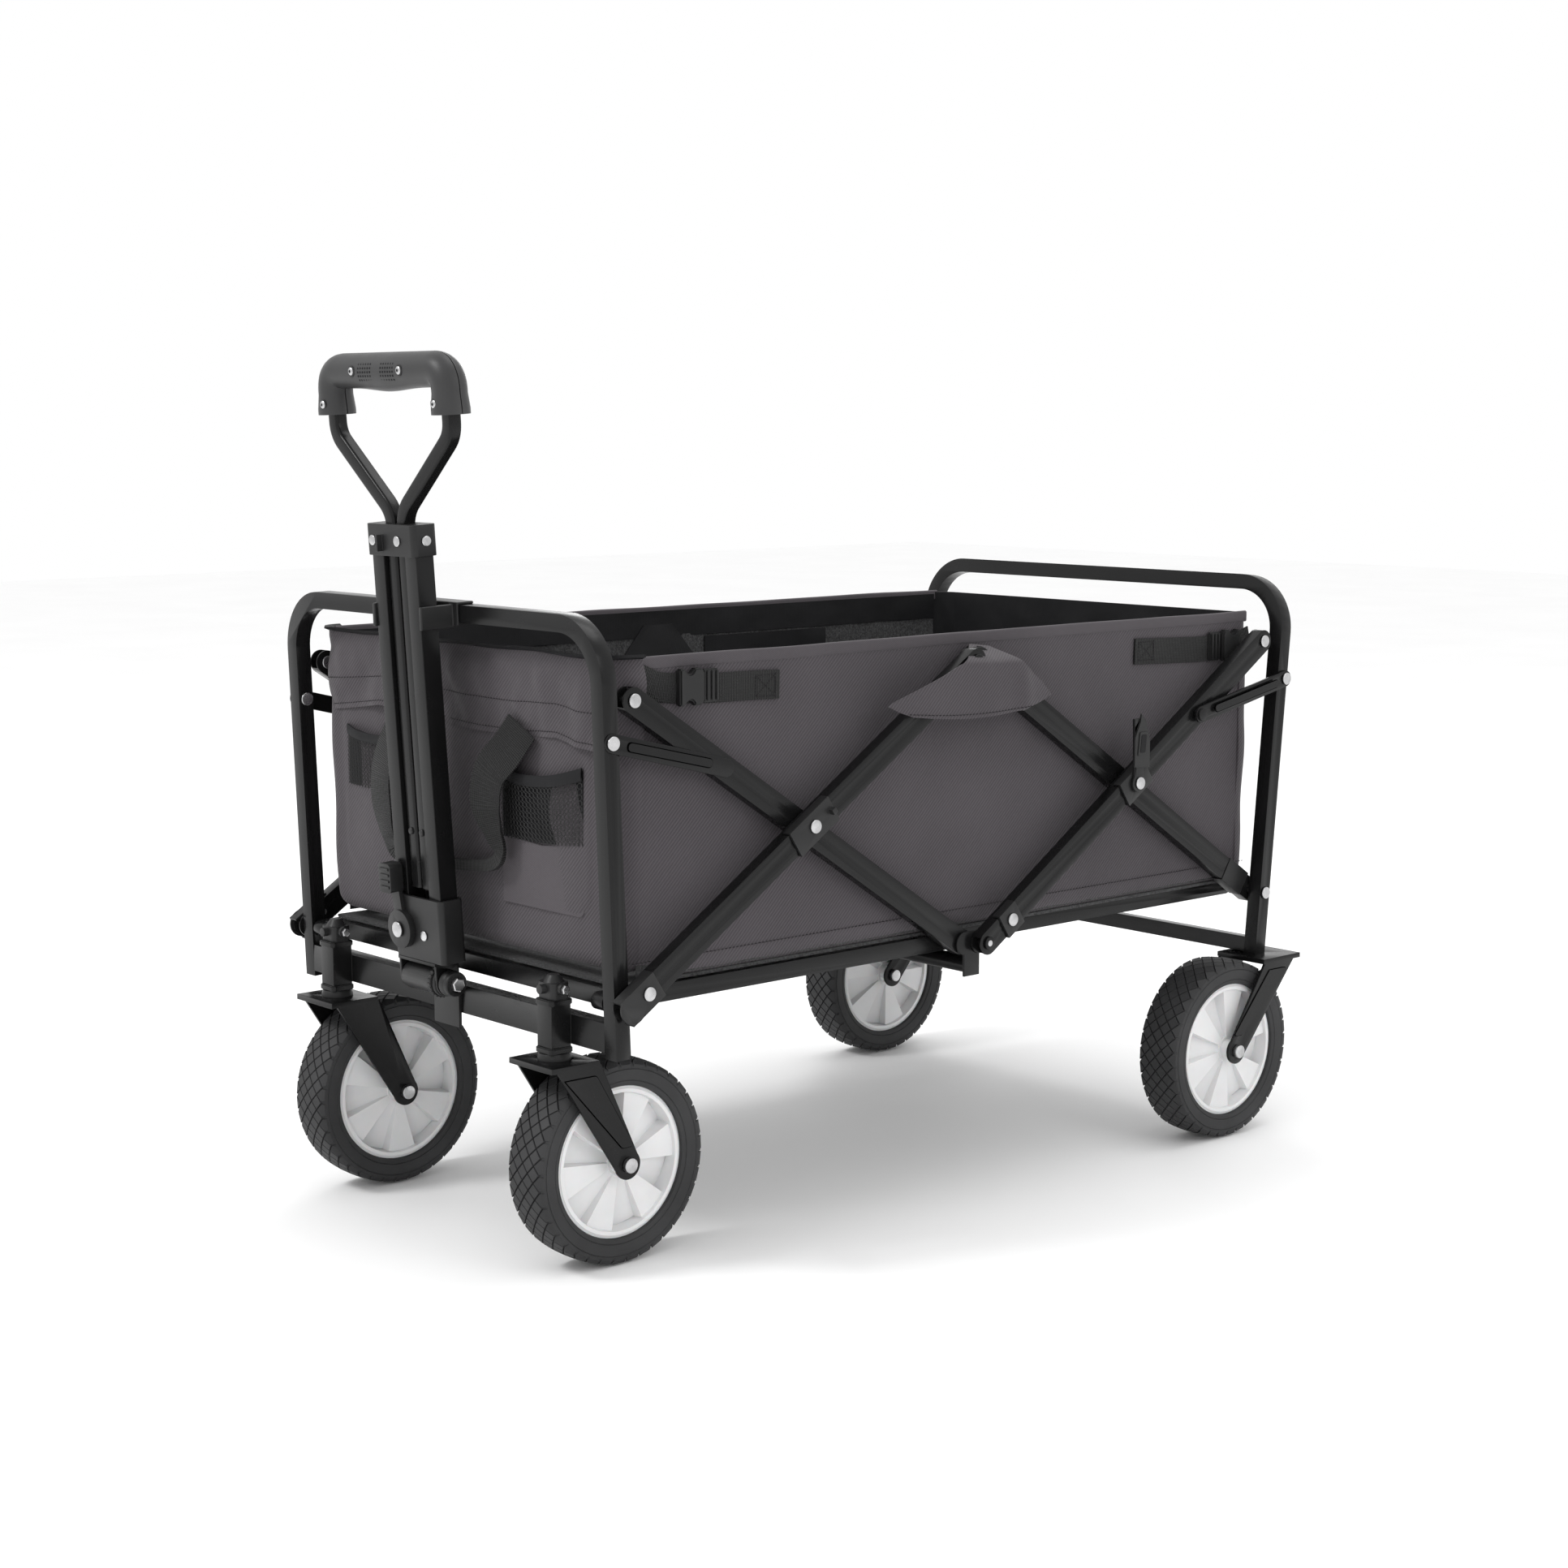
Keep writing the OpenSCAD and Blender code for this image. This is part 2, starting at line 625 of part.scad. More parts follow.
// Round-headed rivet on the front of the handle
module front_rivet(x, z, r, h) {
  translate([x, -12.5, z]) rotate([90, 0, 0]) cylinder(r = r, h = h);
}
module handle_rivets() {
  color(zinc) handle_place() {
    for (x = [-25, 12]) front_rivet(x, collar_s - 14, 4.5, 1.6);
    pin(36.5, 38, 0, collar_s - 14, 4.5);
    front_rivet(10, 42, 4.5, 1.6);
    front_rivet(lever_x, lever_z, lever_stud_r, 8);
    translate([lever_x, -19.5, lever_z]) rotate([90, 0, 0]) cylinder(r = 7, h = 2);
  }
}
module lock_lever() {
  color(plastic) handle_place() translate([lever_x, -12.7, lever_z]) rotate([90, 0, 0]) difference() {
    union() {
      cylinder(r = 17, h = 6);
      linear_extrude(4) bar2d([0, 0], [-6, 40], 12);
      translate([-6, 46, 0]) linear_extrude(13) round_rect(18, 26, 4);
    }
    translate([0, 0, -1]) cylinder(r = lever_stud_r + run, h = 10);
  }
}
inner_bar = [14, 12];
bar_x = 8;
module handle_inner_tubes() {
  path = [[bar_x, 82], [bar_x, collar_s + 9], [grip_half_w, grip_s - 54], [grip_half_w, grip_s - 25]];
  color(steel) handle_place() both_sides() translate([0, inner_bar[1] / 2, 0]) rotate([90, 0, 0])
    linear_extrude(inner_bar[1]) for (i = [0 : 2]) bar2d(path[i], path[i + 1], inner_bar[0]);
}
// Whole grip: a round bar with a quarter bend at each end
module grip_bar() {
  corner = 34;
  both_sides() translate([grip_half_w - corner, 0, grip_s - corner]) rotate([90, 0, 0])
    rotate_extrude(angle = 90) translate([corner, 0]) circle(grip_r);
  translate([0, 0, grip_s]) pin(-grip_half_w + corner, grip_half_w - corner, 0, 0, grip_r);
}
screw_at = [[-36, 0], [36, 0], [-grip_half_w + 2, -28], [grip_half_w - 2, -28]];
module grip_half(dir) {
  color(plastic) handle_place() difference() {
    grip_bar();
    translate([-150, dir > 0 ? -40 : 0, grip_s - 80]) cube([300, 40, 160]);
    both_sides() translate([grip_half_w, 0, grip_s - 40])
      cube([inner_bar[0] + 1, inner_bar[1] + 0.6, 52], center = true);
    for (p = screw_at) translate([p[0], -8, grip_s + p[1]]) rotate([90, 0, 0])
      cylinder(r = 3.4, h = 20);
  }
}
module grip_screws() {
  color(zinc) handle_place() for (p = screw_at)
    translate([p[0], -8, grip_s + p[1]]) rotate([90, 0, 0]) cylinder(r = 3.4, h = 5.5);
}
module handle_clip() {
  rail = frame_top - pivot_z - tube / 2;
  lip = 2.5;
  jaw_x = side_tube_x + side_tube[0] / 2 + 0.5;
  color(plastic) front_place() difference() {
    union() {
      translate([-44, -tube / 2 - lip, rail - tube / 2 - lip]) cube([88, tube + lip, tube + 2 * lip]);
      both_sides() translate([jaw_x, -42, rail - 12]) cube([4, 36, 20]);
      translate([-30, -20, rail - 8]) cube([60, 14, 12]);
    }
    translate([-60, -tube / 2, rail - tube / 2]) cube([120, tube + 1, tube]);
  }
}

// ---- Tub ----
// Panel of the tub: a slab of the given width and depth between two heights
module panel(x, y, w, d, z0 = floor_z, z1 = rim_z) {
  color(cloth) translate([x, y, z0]) cube([w, d, z1 - z0]);
}
sheet_half_w = tub_half_w - panel_t - 0.5;
module front_panel() {
  half = tub_half_w - panel_t;
  panel(-half, front_wall_y, 2 * half, panel_t);
}
module rear_panel() {
  panel(-sheet_half_w, rear_wall_y, 2 * sheet_half_w, panel_t + 1);
}
module side_panels() {
  length = rear_wall_y + panel_t + 1 - front_wall_y;
  both_sides() panel(tub_half_w - panel_t, front_wall_y, panel_t, length);
}
// The fabric floor folds along the middle, each half lying on its own rails
module front_floor_sheet() {
  y0 = front_wall_y + panel_t + 1;
  panel(-sheet_half_w, y0, 2 * sheet_half_w, mid_y - 0.2 - y0, floor_z, floor_z + 3);
}
module rear_floor_sheet() {
  panel(-sheet_half_w, mid_y + 0.2, 2 * sheet_half_w, rear_wall_y - 1 - mid_y, floor_z, floor_z + 3);
}
// Side-release buckle on a strap that lies on a side panel, from its sewn end to its hook
module buckle(y_end, y_buckle, y_hook, z) {
  x = tub_half_w + 0.2;
  color([0.05, 0.05, 0.05]) both_sides() {
    translate([x, min(y_end, y_hook), z - 11]) cube([1.5, abs(y_hook - y_end), 22]);
    translate([x + 1.5, y_buckle - 19, z - 14]) cube([5, 38, 28]);
  }
}
module front_buckles() {
  buckle(front_y + 184, front_y + 90, front_y + 30, 494);
}
module rear_buckles() {
  buckle(rear_y - 183, rear_y - 70, rear_y - 24, 490);
}

front_frame();
front_lower_rail();
caster_caps();
hinge_block();
handle_clip();
front_rivets();
caster_fork(-1);  // caster_fork_left
caster_fork(1);  // caster_fork_right
caster_pins(-1);  // caster_pins_left
caster_pins(1);  // caster_pins_right
tyre(-front_track / 2, front_axle_y);  // tyre_front_left
tyre(front_track / 2, front_axle_y);  // tyre_front_right
tyre(-rear_half_w, rear_axle_y);  // tyre_rear_left
tyre(rear_half_w, rear_axle_y);  // tyre_rear_right
hub(-front_track / 2, front_axle_y);  // hub_front_left
hub(front_track / 2, front_axle_y);  // hub_front_right
hub(-rear_half_w, rear_axle_y);  // hub_rear_left
hub(rear_half_w, rear_axle_y);  // hub_rear_right
handle_yoke();
handle_bolt();
handle_socket();
handle_outer_tubes();
handle_collar();
handle_rivets();
lock_lever();
handle_inner_tubes();
grip_half(-1);  // grip_front
grip_half(1);  // grip_back
grip_screws();
front_outer_arms();
front_arm_caps();
front_cross_covers();
front_cross_rivets();
front_inner_arms();
front_tip_rivets();
centre_tube();
centre_brackets();
rear_outer_arms();
rear_arm_knuckles();
rear_cross_covers();
rear_cross_rivets();
rear_inner_arms();
rear_arm_caps();
rear_frame();
rear_forks();
rear_fasteners();
top_brackets();
front_links();
rear_links();
latch_tab();
front_floor_rails();
rear_floor_rails();
front_panel();
rear_panel();
side_panels();
front_floor_sheet();
rear_floor_sheet();
front_buckles();
rear_buckles();
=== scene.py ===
import json
from math import cos, exp, hypot, pi, radians, sin, sqrt, tan

import bmesh
import bpy
import numpy as np
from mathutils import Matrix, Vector, noise


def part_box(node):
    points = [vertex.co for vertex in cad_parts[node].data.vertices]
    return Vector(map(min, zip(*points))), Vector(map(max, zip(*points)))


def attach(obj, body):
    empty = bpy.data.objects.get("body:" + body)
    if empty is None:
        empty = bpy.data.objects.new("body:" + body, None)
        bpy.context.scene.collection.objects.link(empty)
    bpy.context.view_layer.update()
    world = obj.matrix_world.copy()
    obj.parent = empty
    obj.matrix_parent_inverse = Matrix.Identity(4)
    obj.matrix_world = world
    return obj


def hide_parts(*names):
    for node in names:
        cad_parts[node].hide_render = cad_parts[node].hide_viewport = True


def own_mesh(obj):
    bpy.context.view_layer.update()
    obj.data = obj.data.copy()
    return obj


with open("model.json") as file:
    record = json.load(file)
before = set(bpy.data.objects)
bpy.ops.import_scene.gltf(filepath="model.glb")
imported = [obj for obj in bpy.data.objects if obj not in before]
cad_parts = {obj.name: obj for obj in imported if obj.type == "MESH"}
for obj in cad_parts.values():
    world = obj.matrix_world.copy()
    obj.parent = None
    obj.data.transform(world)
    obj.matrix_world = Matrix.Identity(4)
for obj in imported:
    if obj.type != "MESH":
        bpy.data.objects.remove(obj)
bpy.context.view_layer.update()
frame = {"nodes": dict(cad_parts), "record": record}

MM = 0.001
joint = {j["name"]: j for j in frame["record"]["behaviour"]["joints"]}
FRONT = Vector(joint["fold"]["pos_m"])
REAR = Vector(joint["rear_foot_pin"]["pos_m"])
MID_Y = (FRONT.y + REAR.y) / 2
PANEL_LO, PANEL_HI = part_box("front_panel")
SIDE_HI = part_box("side_panels")[1]
BACK_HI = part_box("rear_panel")[1]
HALF_W = SIDE_HI.x
FLOOR_Z, RIM_Z = PANEL_LO.z, PANEL_HI.z
WALL_Y = PANEL_LO.y


# ---- Materials ----
class Paint:
    """A principled material with short helpers for its nodes."""

    def __init__(self, name, color, rough, **sockets):
        self.mat = bpy.data.materials.new(name)
        self.mat.use_nodes = True
        self.tree = self.mat.node_tree
        self.shader = self.tree.nodes["Principled BSDF"]
        self.coord = self.add("TexCoord").outputs["Object"]
        self.color = color
        self.shader.inputs["Base Color"].default_value = (*color, 1)
        self.shader.inputs["Roughness"].default_value = rough
        for key, value in sockets.items():
            self.shader.inputs[key.replace("_", " ")].default_value = value

    def add(self, kind, **values):
        node = self.tree.nodes.new("ShaderNode" + kind)
        for key, value in values.items():
            setattr(node, key, value)
        return node

    def link(self, a, b):
        self.tree.links.new(a, b)

    def math(self, operation, a, b=0.0, c=0.0):
        node = self.add("Math", operation=operation)
        for socket, value in zip(node.inputs, (a, b, c)):
            if isinstance(value, (int, float)):
                socket.default_value = value
            else:
                self.link(value, socket)
        return node.outputs[0]

    def noise(self, scale, detail=3.0, rough=0.55, stretch=None):
        node = self.add("TexNoise")
        node.inputs["Scale"].default_value = scale
        node.inputs["Detail"].default_value = detail
        node.inputs["Roughness"].default_value = rough
        source = self.coord
        if stretch:
            mapping = self.add("Mapping")
            mapping.inputs["Scale"].default_value = stretch
            self.link(self.coord, mapping.inputs["Vector"])
            source = mapping.outputs[0]
        self.link(source, node.inputs["Vector"])
        return node.outputs["Fac"]

    def wave(self, direction, pitch, wobble=0.0):
        """Sine from 0 to 1 across direction, with its pitch in metres."""
        dot = self.add("VectorMath", operation="DOT_PRODUCT")
        dot.inputs[1].default_value = direction
        self.link(self.coord, dot.inputs[0])
        phase = self.math("MULTIPLY", dot.outputs["Value"], 2 * pi / pitch)
        if wobble:
            phase = self.math("MULTIPLY_ADD", self.noise(140), wobble, phase)
        return self.math("MULTIPLY_ADD", self.math("SINE", phase), 0.5, 0.5)

    def shade(self, factor, dark, light, low=0.3, high=0.7):
        """Base colour between dark and light times the material's own colour."""
        ramp = self.add("ValToRGB")
        ramp.color_ramp.elements[0].position = low
        ramp.color_ramp.elements[1].position = high
        ramp.color_ramp.elements[0].color = (*[dark * c for c in self.color], 1)
        ramp.color_ramp.elements[1].color = (*[light * c for c in self.color], 1)
        self.link(factor, ramp.inputs[0])
        self.link(ramp.outputs[0], self.shader.inputs["Base Color"])
        return ramp.outputs[0]

    def rough(self, factor, low, high):
        spread = self.add("MapRange")
        spread.inputs["To Min"].default_value = low
        spread.inputs["To Max"].default_value = high
        self.link(factor, spread.inputs["Value"])
        self.link(spread.outputs[0], self.shader.inputs["Roughness"])

    def bump(self, height, strength, distance):
        node = self.add("Bump")
        node.inputs["Strength"].default_value = strength
        node.inputs["Distance"].default_value = distance
        last = self.shader.inputs["Normal"].links
        if last:
            self.link(last[0].from_socket, node.inputs["Normal"])
        self.link(height, node.inputs["Height"])
        self.link(node.outputs[0], self.shader.inputs["Normal"])

    def painted_edge_highlight(self, base, light):
        """Painted highlight: lighter paint along every edge that sticks out, varied a little by noise."""
        edge = self.add("ValToRGB")
        edge.color_ramp.elements[0].position = 0.56
        edge.color_ramp.elements[1].position = 0.72
        self.link(self.add("NewGeometry").outputs["Pointiness"], edge.inputs[0])
        mix = self.add("Mix", data_type="RGBA")
        colors = [s for s in mix.inputs if s.type == "RGBA"]
        colors[1].default_value = (light, light, light, 1)
        self.link(self.math("MULTIPLY", edge.outputs[0], self.noise(60)), mix.inputs[0])
        self.link(base, colors[0])
        self.link([s for s in mix.outputs if s.type == "RGBA"][0], self.shader.inputs["Base Color"])


def powder_coat(name, tone, rough):
    p = Paint(name, (tone, tone, tone * 1.03), rough, Specular_IOR_Level=0.22)
    base = p.shade(p.noise(9), 0.8, 1.2)
    # painted highlight along the steel's edges
    p.painted_edge_highlight(base, tone * 2.2)
    p.rough(p.noise(35, 4), rough - 0.06, rough + 0.1)
    p.bump(p.noise(1100, 2), 0.10, 0.0004)
    return p.mat


def moulded(name, tone, rough, grain=1600):
    p = Paint(name, (tone, tone, tone * 1.02), rough, Specular_IOR_Level=0.3)
    base = p.shade(p.noise(14), 0.85, 1.15)
    # painted highlight along the plastic's edges
    p.painted_edge_highlight(base, tone * 1.8)
    p.rough(p.noise(60, 4), rough - 0.08, rough + 0.08)
    p.bump(p.noise(grain, 3), 0.22, 0.0004)
    return p.mat


def metal(name, tone, rough):
    p = Paint(name, (tone, tone, tone * 1.01), rough, Metallic=1.0)
    p.shade(p.noise(90, 4), 0.75, 1.1)
    p.rough(p.noise(240, 4), rough - 0.08, rough + 0.15)
    p.bump(p.noise(700, 3), 0.08, 0.0002)
    return p.mat


def twill(name, color, pitch=0.0028, depth=0.5):
    """Woven polyester: diagonal ribs, finer cross threads, uneven yarn and broad soft creases."""
    p = Paint(name, color, 0.82, Sheen_Weight=0.12, Sheen_Roughness=0.45, Specular_IOR_Level=0.3)
    ribs = p.wave((-0.707, -0.707, 0.707), pitch, 0.8)
    threads = p.wave((0.707, 0.707, 0.707), pitch * 0.42, 0.5)
    yarn = p.noise(420, 4)
    height = p.math("MULTIPLY_ADD", threads, 0.35, p.math("MULTIPLY_ADD", yarn, 0.5, ribs))
    tone = p.math("MULTIPLY_ADD", p.noise(7, 2), 0.5, p.math("MULTIPLY", height, 0.4))
    p.shade(tone, 0.66, 1.3, 0.3, 0.85)
    p.bump(height, depth, 0.0005)
    p.bump(p.noise(22, 3), 0.25, 0.004)
    return p.mat


def speckled(name, color):
    p = Paint(name, color, 0.9, Sheen_Weight=0.1, Specular_IOR_Level=0.2)
    p.shade(p.noise(520, 5, 0.8), 0.35, 2.1, 0.38, 0.68)
    p.bump(p.noise(520, 5, 0.8), 0.4, 0.0006)
    p.bump(p.noise(18, 3), 0.3, 0.004)
    return p.mat


def coated(name, color):
    """Dark smooth lining cloth with a faint shine."""
    p = Paint(name, color, 0.6, Specular_IOR_Level=0.2)
    grid = p.math("ADD", p.wave((1, 0.6, 0), 0.0009), p.wave((0, 0.6, 1), 0.0009))
    p.shade(p.math("MULTIPLY_ADD", p.noise(11), 0.8, p.math("MULTIPLY", grid, 0.1)), 0.7, 1.3)
    p.bump(grid, 0.25, 0.0003)
    p.bump(p.noise(16, 3), 0.35, 0.005)
    return p.mat


def webbing_paint(name, tone):
    """Webbing: ribs across its length, which is the first UV direction in metres."""
    p = Paint(name, (tone, tone, tone), 0.62, Sheen_Weight=0.05, Specular_IOR_Level=0.25)
    uv = p.add("TexCoord").outputs["UV"]
    split = p.add("SeparateXYZ")
    p.link(uv, split.inputs[0])
    rib = p.math("SINE", p.math("MULTIPLY", split.outputs[0], 2 * pi / 0.0017))
    weft = p.math("SINE", p.math("MULTIPLY", split.outputs[1], 2 * pi / 0.0024))
    height = p.math("MULTIPLY_ADD", weft, 0.3, rib)
    p.shade(p.math("MULTIPLY_ADD", height, 0.3, 0.5), 0.55, 1.6)
    p.bump(height, 0.7, 0.0006)
    return p.mat


def tyre_rubber():
    p = Paint("tyre_rubber", (0.030, 0.030, 0.031), 0.62, Specular_IOR_Level=0.3)
    p.shade(p.noise(16, 5), 0.8, 1.25)
    p.rough(p.noise(50, 4), 0.52, 0.75)
    p.bump(p.noise(900, 4), 0.2, 0.0004)
    return p.mat


def hub_plastic():
    p = Paint("hub_plastic", (0.74, 0.74, 0.745), 0.38, Subsurface_Weight=0.12, Subsurface_Scale=0.004)
    p.shade(p.noise(24, 4), 0.94, 1.03)
    p.rough(p.noise(70, 4), 0.3, 0.48)
    p.bump(p.noise(500, 3), 0.05, 0.0003)
    return p.mat


STEEL = powder_coat("black_powder_coat", 0.0065, 0.23)
PLASTIC = moulded("black_nylon", 0.014, 0.40)
GRIP = moulded("grip_plastic", 0.036, 0.4, 2200)
ZINC = metal("zinc_plate", 0.56, 0.26)
RUBBER = tyre_rubber()
WHITE = hub_plastic()
CHARCOAL = twill("charcoal_twill", (0.060, 0.053, 0.059))
BINDING = twill("binding", (0.066, 0.059, 0.065), 0.0013, 0.2)
POCKET_CLOTH = twill("pocket_cloth", (0.066, 0.059, 0.065), 0.0014, 0.12)
LINING = coated("black_lining", (0.009, 0.009, 0.010))
SPECKLE = speckled("speckled_lining", (0.045, 0.045, 0.046))
WEBBING = webbing_paint("black_webbing", 0.010)
NET = coated("black_net", (0.022, 0.022, 0.022))
THREAD = coated("dark_thread", (0.016, 0.014, 0.016))
SLOT_PAINT = {
    "black_steel": STEEL,
    "black_plastic": PLASTIC,
    "grip_plastic": GRIP,
    "black_rivets": ZINC,
    "zinc": ZINC,
    "tyre": RUBBER,
    "white_hub": WHITE,
    "tub_fabric": CHARCOAL,
    "lining": LINING,
    "webbing": WEBBING,
}
LINED = ([LINING, LINING], "front_wall", "lining")


# ---- Mesh tools ----
def finish_piece(obj, body, slot_name):
    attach(obj, body)
    return obj


def mesh_piece(name, verts, faces, mats, body=None, slot_name=None, face_mats=None, smooth=40, uvs=None):
    mesh = bpy.data.meshes.new(name)
    mesh.from_pydata([tuple(v) for v in verts], [], faces)
    for m in mats if isinstance(mats, (list, tuple)) else [mats]:
        mesh.materials.append(m)
    if face_mats is not None:
        mesh.polygons.foreach_set("material_index", face_mats)
    if uvs is not None:
        layer = mesh.uv_layers.new(name="UVMap")
        loops = np.zeros(len(mesh.loops), int)
        mesh.loops.foreach_get("vertex_index", loops)
        layer.data.foreach_set("uv", np.asarray(uvs, float)[loops].ravel())
    mesh.validate()
    obj = bpy.data.objects.new(name, mesh)
    bpy.context.scene.collection.objects.link(obj)
    bm = bmesh.new()
    bm.from_mesh(mesh)
    bmesh.ops.recalc_face_normals(bm, faces=bm.faces)
    bm.to_mesh(mesh)
    bm.free()
    mesh.polygons.foreach_set("use_smooth", [True] * len(mesh.polygons))
    mesh.set_sharp_from_angle(angle=radians(smooth))
    if body:
        finish_piece(obj, body, slot_name)
    return obj


def quads(nu, nv, wrap_u=False, wrap_v=False, start=0):
    """Faces of a grid of nu by nv points."""
    made = []
    for i in range(nu if wrap_u else nu - 1):
        for j in range(nv if wrap_v else nv - 1):
            a, b = i % nu, (i + 1) % nu
            c, d = j % nv, (j + 1) % nv
            made.append((start + a * nv + c, start + b * nv + c, start + b * nv + d, start + a * nv + d))
    return made


def cloth_shell(name, fn, nu, nv, thick, mats, body, slot_name, out=(0, -1, 0)):
    """Closed sheet: fn(u, v) gives its outer face, which looks along out, and its back lies thick behind."""
    us, vs = np.linspace(0, 1, nu), np.linspace(0, 1, nv)
    outer = np.array([[fn(u, v) for v in vs] for u in us], float)
    normal = np.cross(np.gradient(outer, axis=0), np.gradient(outer, axis=1))
    normal /= np.linalg.norm(normal, axis=2, keepdims=True) + 1e-12
    if (normal @ np.array(out, float)).mean() < 0:
        normal = -normal
    back = outer - normal * thick
    count = nu * nv
    faces = quads(nu, nv)
    marks = [0] * len(faces)
    faces += [tuple(count + k for k in reversed(f)) for f in quads(nu, nv)]
    marks += [1] * (len(faces) - len(marks))
    ring = [i * nv for i in range(nu)] + [(nu - 1) * nv + j for j in range(1, nv)]
    ring += [i * nv + nv - 1 for i in range(nu - 2, -1, -1)] + [j for j in range(nv - 2, 0, -1)]
    for a, b in zip(ring, ring[1:] + ring[:1]):
        faces.append((a, b, count + b, count + a))
        marks.append(0)
    verts = np.concatenate([outer.reshape(-1, 3), back.reshape(-1, 3)])
    return mesh_piece(name, verts, faces, mats, body, slot_name, marks, 50)


def rounded(w, h, r, n=5):
    """Points of a rounded rectangle about its middle."""
    pts = []
    for cx, cy, start in ((1, 1, 0), (-1, 1, 90), (-1, -1, 180), (1, -1, 270)):
        for k in range(n + 1):
            a = radians(start + 90 * k / n)
            pts.append((cx * (w / 2 - r) + r * cos(a), cy * (h / 2 - r) + r * sin(a)))
    return pts


def fillet(points, radius, steps=8):
    """Polyline with its corners rounded."""
    pts = [Vector(p) for p in points]
    radii = radius if isinstance(radius, (list, tuple)) else [radius] * (len(pts) - 2)
    out = [pts[0]]
    for before, corner, after, r in zip(pts, pts[1:], pts[2:], radii):
        a, b = (before - corner).normalized(), (after - corner).normalized()
        half = a.angle(b) / 2
        cut = min(r / tan(half), 0.49 * (before - corner).length, 0.49 * (after - corner).length)
        start, end = corner + a * cut, corner + b * cut
        for k in range(steps + 1):
            t = k / steps
            out.append(start.lerp(corner, t).lerp(corner.lerp(end, t), t))
    out.append(pts[-1])
    return out


def smooth_curve(points, per=8):
    """Catmull-Rom curve through the points."""
    pts = [Vector(p) for p in points]
    pts = [2 * pts[0] - pts[1], *pts, 2 * pts[-1] - pts[-2]]
    out = []
    for a, b, c, d in zip(pts, pts[1:], pts[2:], pts[3:]):
        for k in range(per):
            t = k / per
            square, cube = 2 * a - 5 * b + 4 * c - d, 3 * b - a - 3 * c + d
            out.append(0.5 * (2 * b + (c - a) * t + square * t * t + cube * t**3))
    out.append(pts[-2])
    return out


def sweep(name, path, section, mats, body, slot_name, side=Vector((0, 1, 0)), scales=None, smooth=40):
    """Section (a, b) along a path: a along side, b across it and the path. UV is the length and a."""
    verts, uvs, run = [], [], 0.0
    n = len(section)
    for i, p in enumerate(path):
        tangent = (path[min(i + 1, len(path) - 1)] - path[max(i - 1, 0)]).normalized()
        lateral = side[i] if isinstance(side, list) else side
        across = tangent.cross(lateral).normalized()
        lateral = across.cross(tangent).normalized()
        wide, thick = scales[i] if scales else (1, 1)
        run += (p - path[i - 1]).length if i else 0
        for a, b in section:
            verts.append(p + lateral * a * wide + across * b * thick)
            uvs.append((run, a * wide))
    faces = quads(len(path), n, wrap_v=True)
    faces.append(tuple(reversed(range(n))))
    faces.append(tuple(range((len(path) - 1) * n, len(path) * n)))
    return mesh_piece(name, verts, faces, mats, body, slot_name, None, smooth, uvs)


def slab(name, outline, place, depth, mats, body, slot_name, bevel=0.6 * MM):
    """Plate with a drawn outline: place takes (a, b, c), with c from 0 to depth, to the row frame."""
    bm = bmesh.new()
    ring = [bm.verts.new((a, b, 0)) for a, b in outline]
    face = bm.faces.new(ring)
    top = bmesh.ops.extrude_face_region(bm, geom=[face])
    moved = [v for v in top["geom"] if isinstance(v, bmesh.types.BMVert)]
    bmesh.ops.translate(bm, verts=moved, vec=(0, 0, depth))
    sharp = [e for e in bm.edges if e.calc_face_angle(0) > 0.6]
    bmesh.ops.bevel(bm, geom=sharp, offset=bevel, segments=2, affect="EDGES", clamp_overlap=True)
    bm.verts.index_update()
    verts = [place(*v.co) for v in bm.verts]
    faces = [tuple(v.index for v in f.verts) for f in bm.faces]
    bm.free()
    return mesh_piece(name, verts, faces, mats, body, slot_name, None, 35)


def stitches(name, path, out, body, slot_name, gap=4.2 * MM, length=3.0 * MM, r=0.45 * MM):
    """Row of sewn stitches along a path; out is the direction the cloth faces."""
    verts, faces, run = [], [], 0.0
    out = Vector(out).normalized()
    for a, b in zip(path, path[1:]):
        step = (b - a).length
        way = (b - a).normalized() if step > 0 else out
        across = way.cross(out).normalized()
        while run < step:
            c = a + way * run
            for end, k in ((0, 0.3), (0.25, 1), (0.75, 1), (1, 0.3)):
                for u, v in ((1, 0), (0, 1), (-1, 0), (0, -1)):
                    verts.append(c + way * (end * length) + (across * u + out * v) * r * k)
            base = len(verts) - 16
            faces += [tuple(base + k for k in f) for f in quads(4, 4, wrap_v=True)]
            run += gap
        run -= step
    return mesh_piece(name, verts, faces, THREAD, body, slot_name)


def crease(p, scale, amount, seed=0.0):
    """Soft low waves for cloth, as a height in metres."""
    return noise.noise(Vector(p) * scale + Vector((seed, seed * 1.7, -seed))) * amount


def smoothstep(lo, hi, x):
    t = min(1.0, max(0.0, (x - lo) / (hi - lo)))
    return t * t * (3 - 2 * t)


# ---- CAD nodes that keep their shape ----
FINE = {"front_rivets", "front_cross_rivets", "front_tip_rivets", "rear_cross_rivets", "handle_rivets",
        "grip_screws"}
for part in frame["record"]["subparts"]:
    node = frame["nodes"][part["node"]]
    node.data.materials.clear()
    node.data.materials.append(SLOT_PAINT[part["material_slot"]])
    weld = node.modifiers.new("weld", "WELD")
    weld.merge_threshold = 1e-6
    flat = node.modifiers.new("flat", "DECIMATE")
    flat.decimate_type = "DISSOLVE"
    flat.angle_limit = radians(1.5)
    bevel = node.modifiers.new("bevel", "BEVEL")
    bevel.width = (0.7 if part["node"] in FINE else 1.3) * MM
    bevel.segments = 3
    bevel.limit_method = "ANGLE"
    bevel.angle_limit = radians(38)
    bevel.harden_normals = True
    node.data.polygons.foreach_set("use_smooth", [True] * len(node.data.polygons))

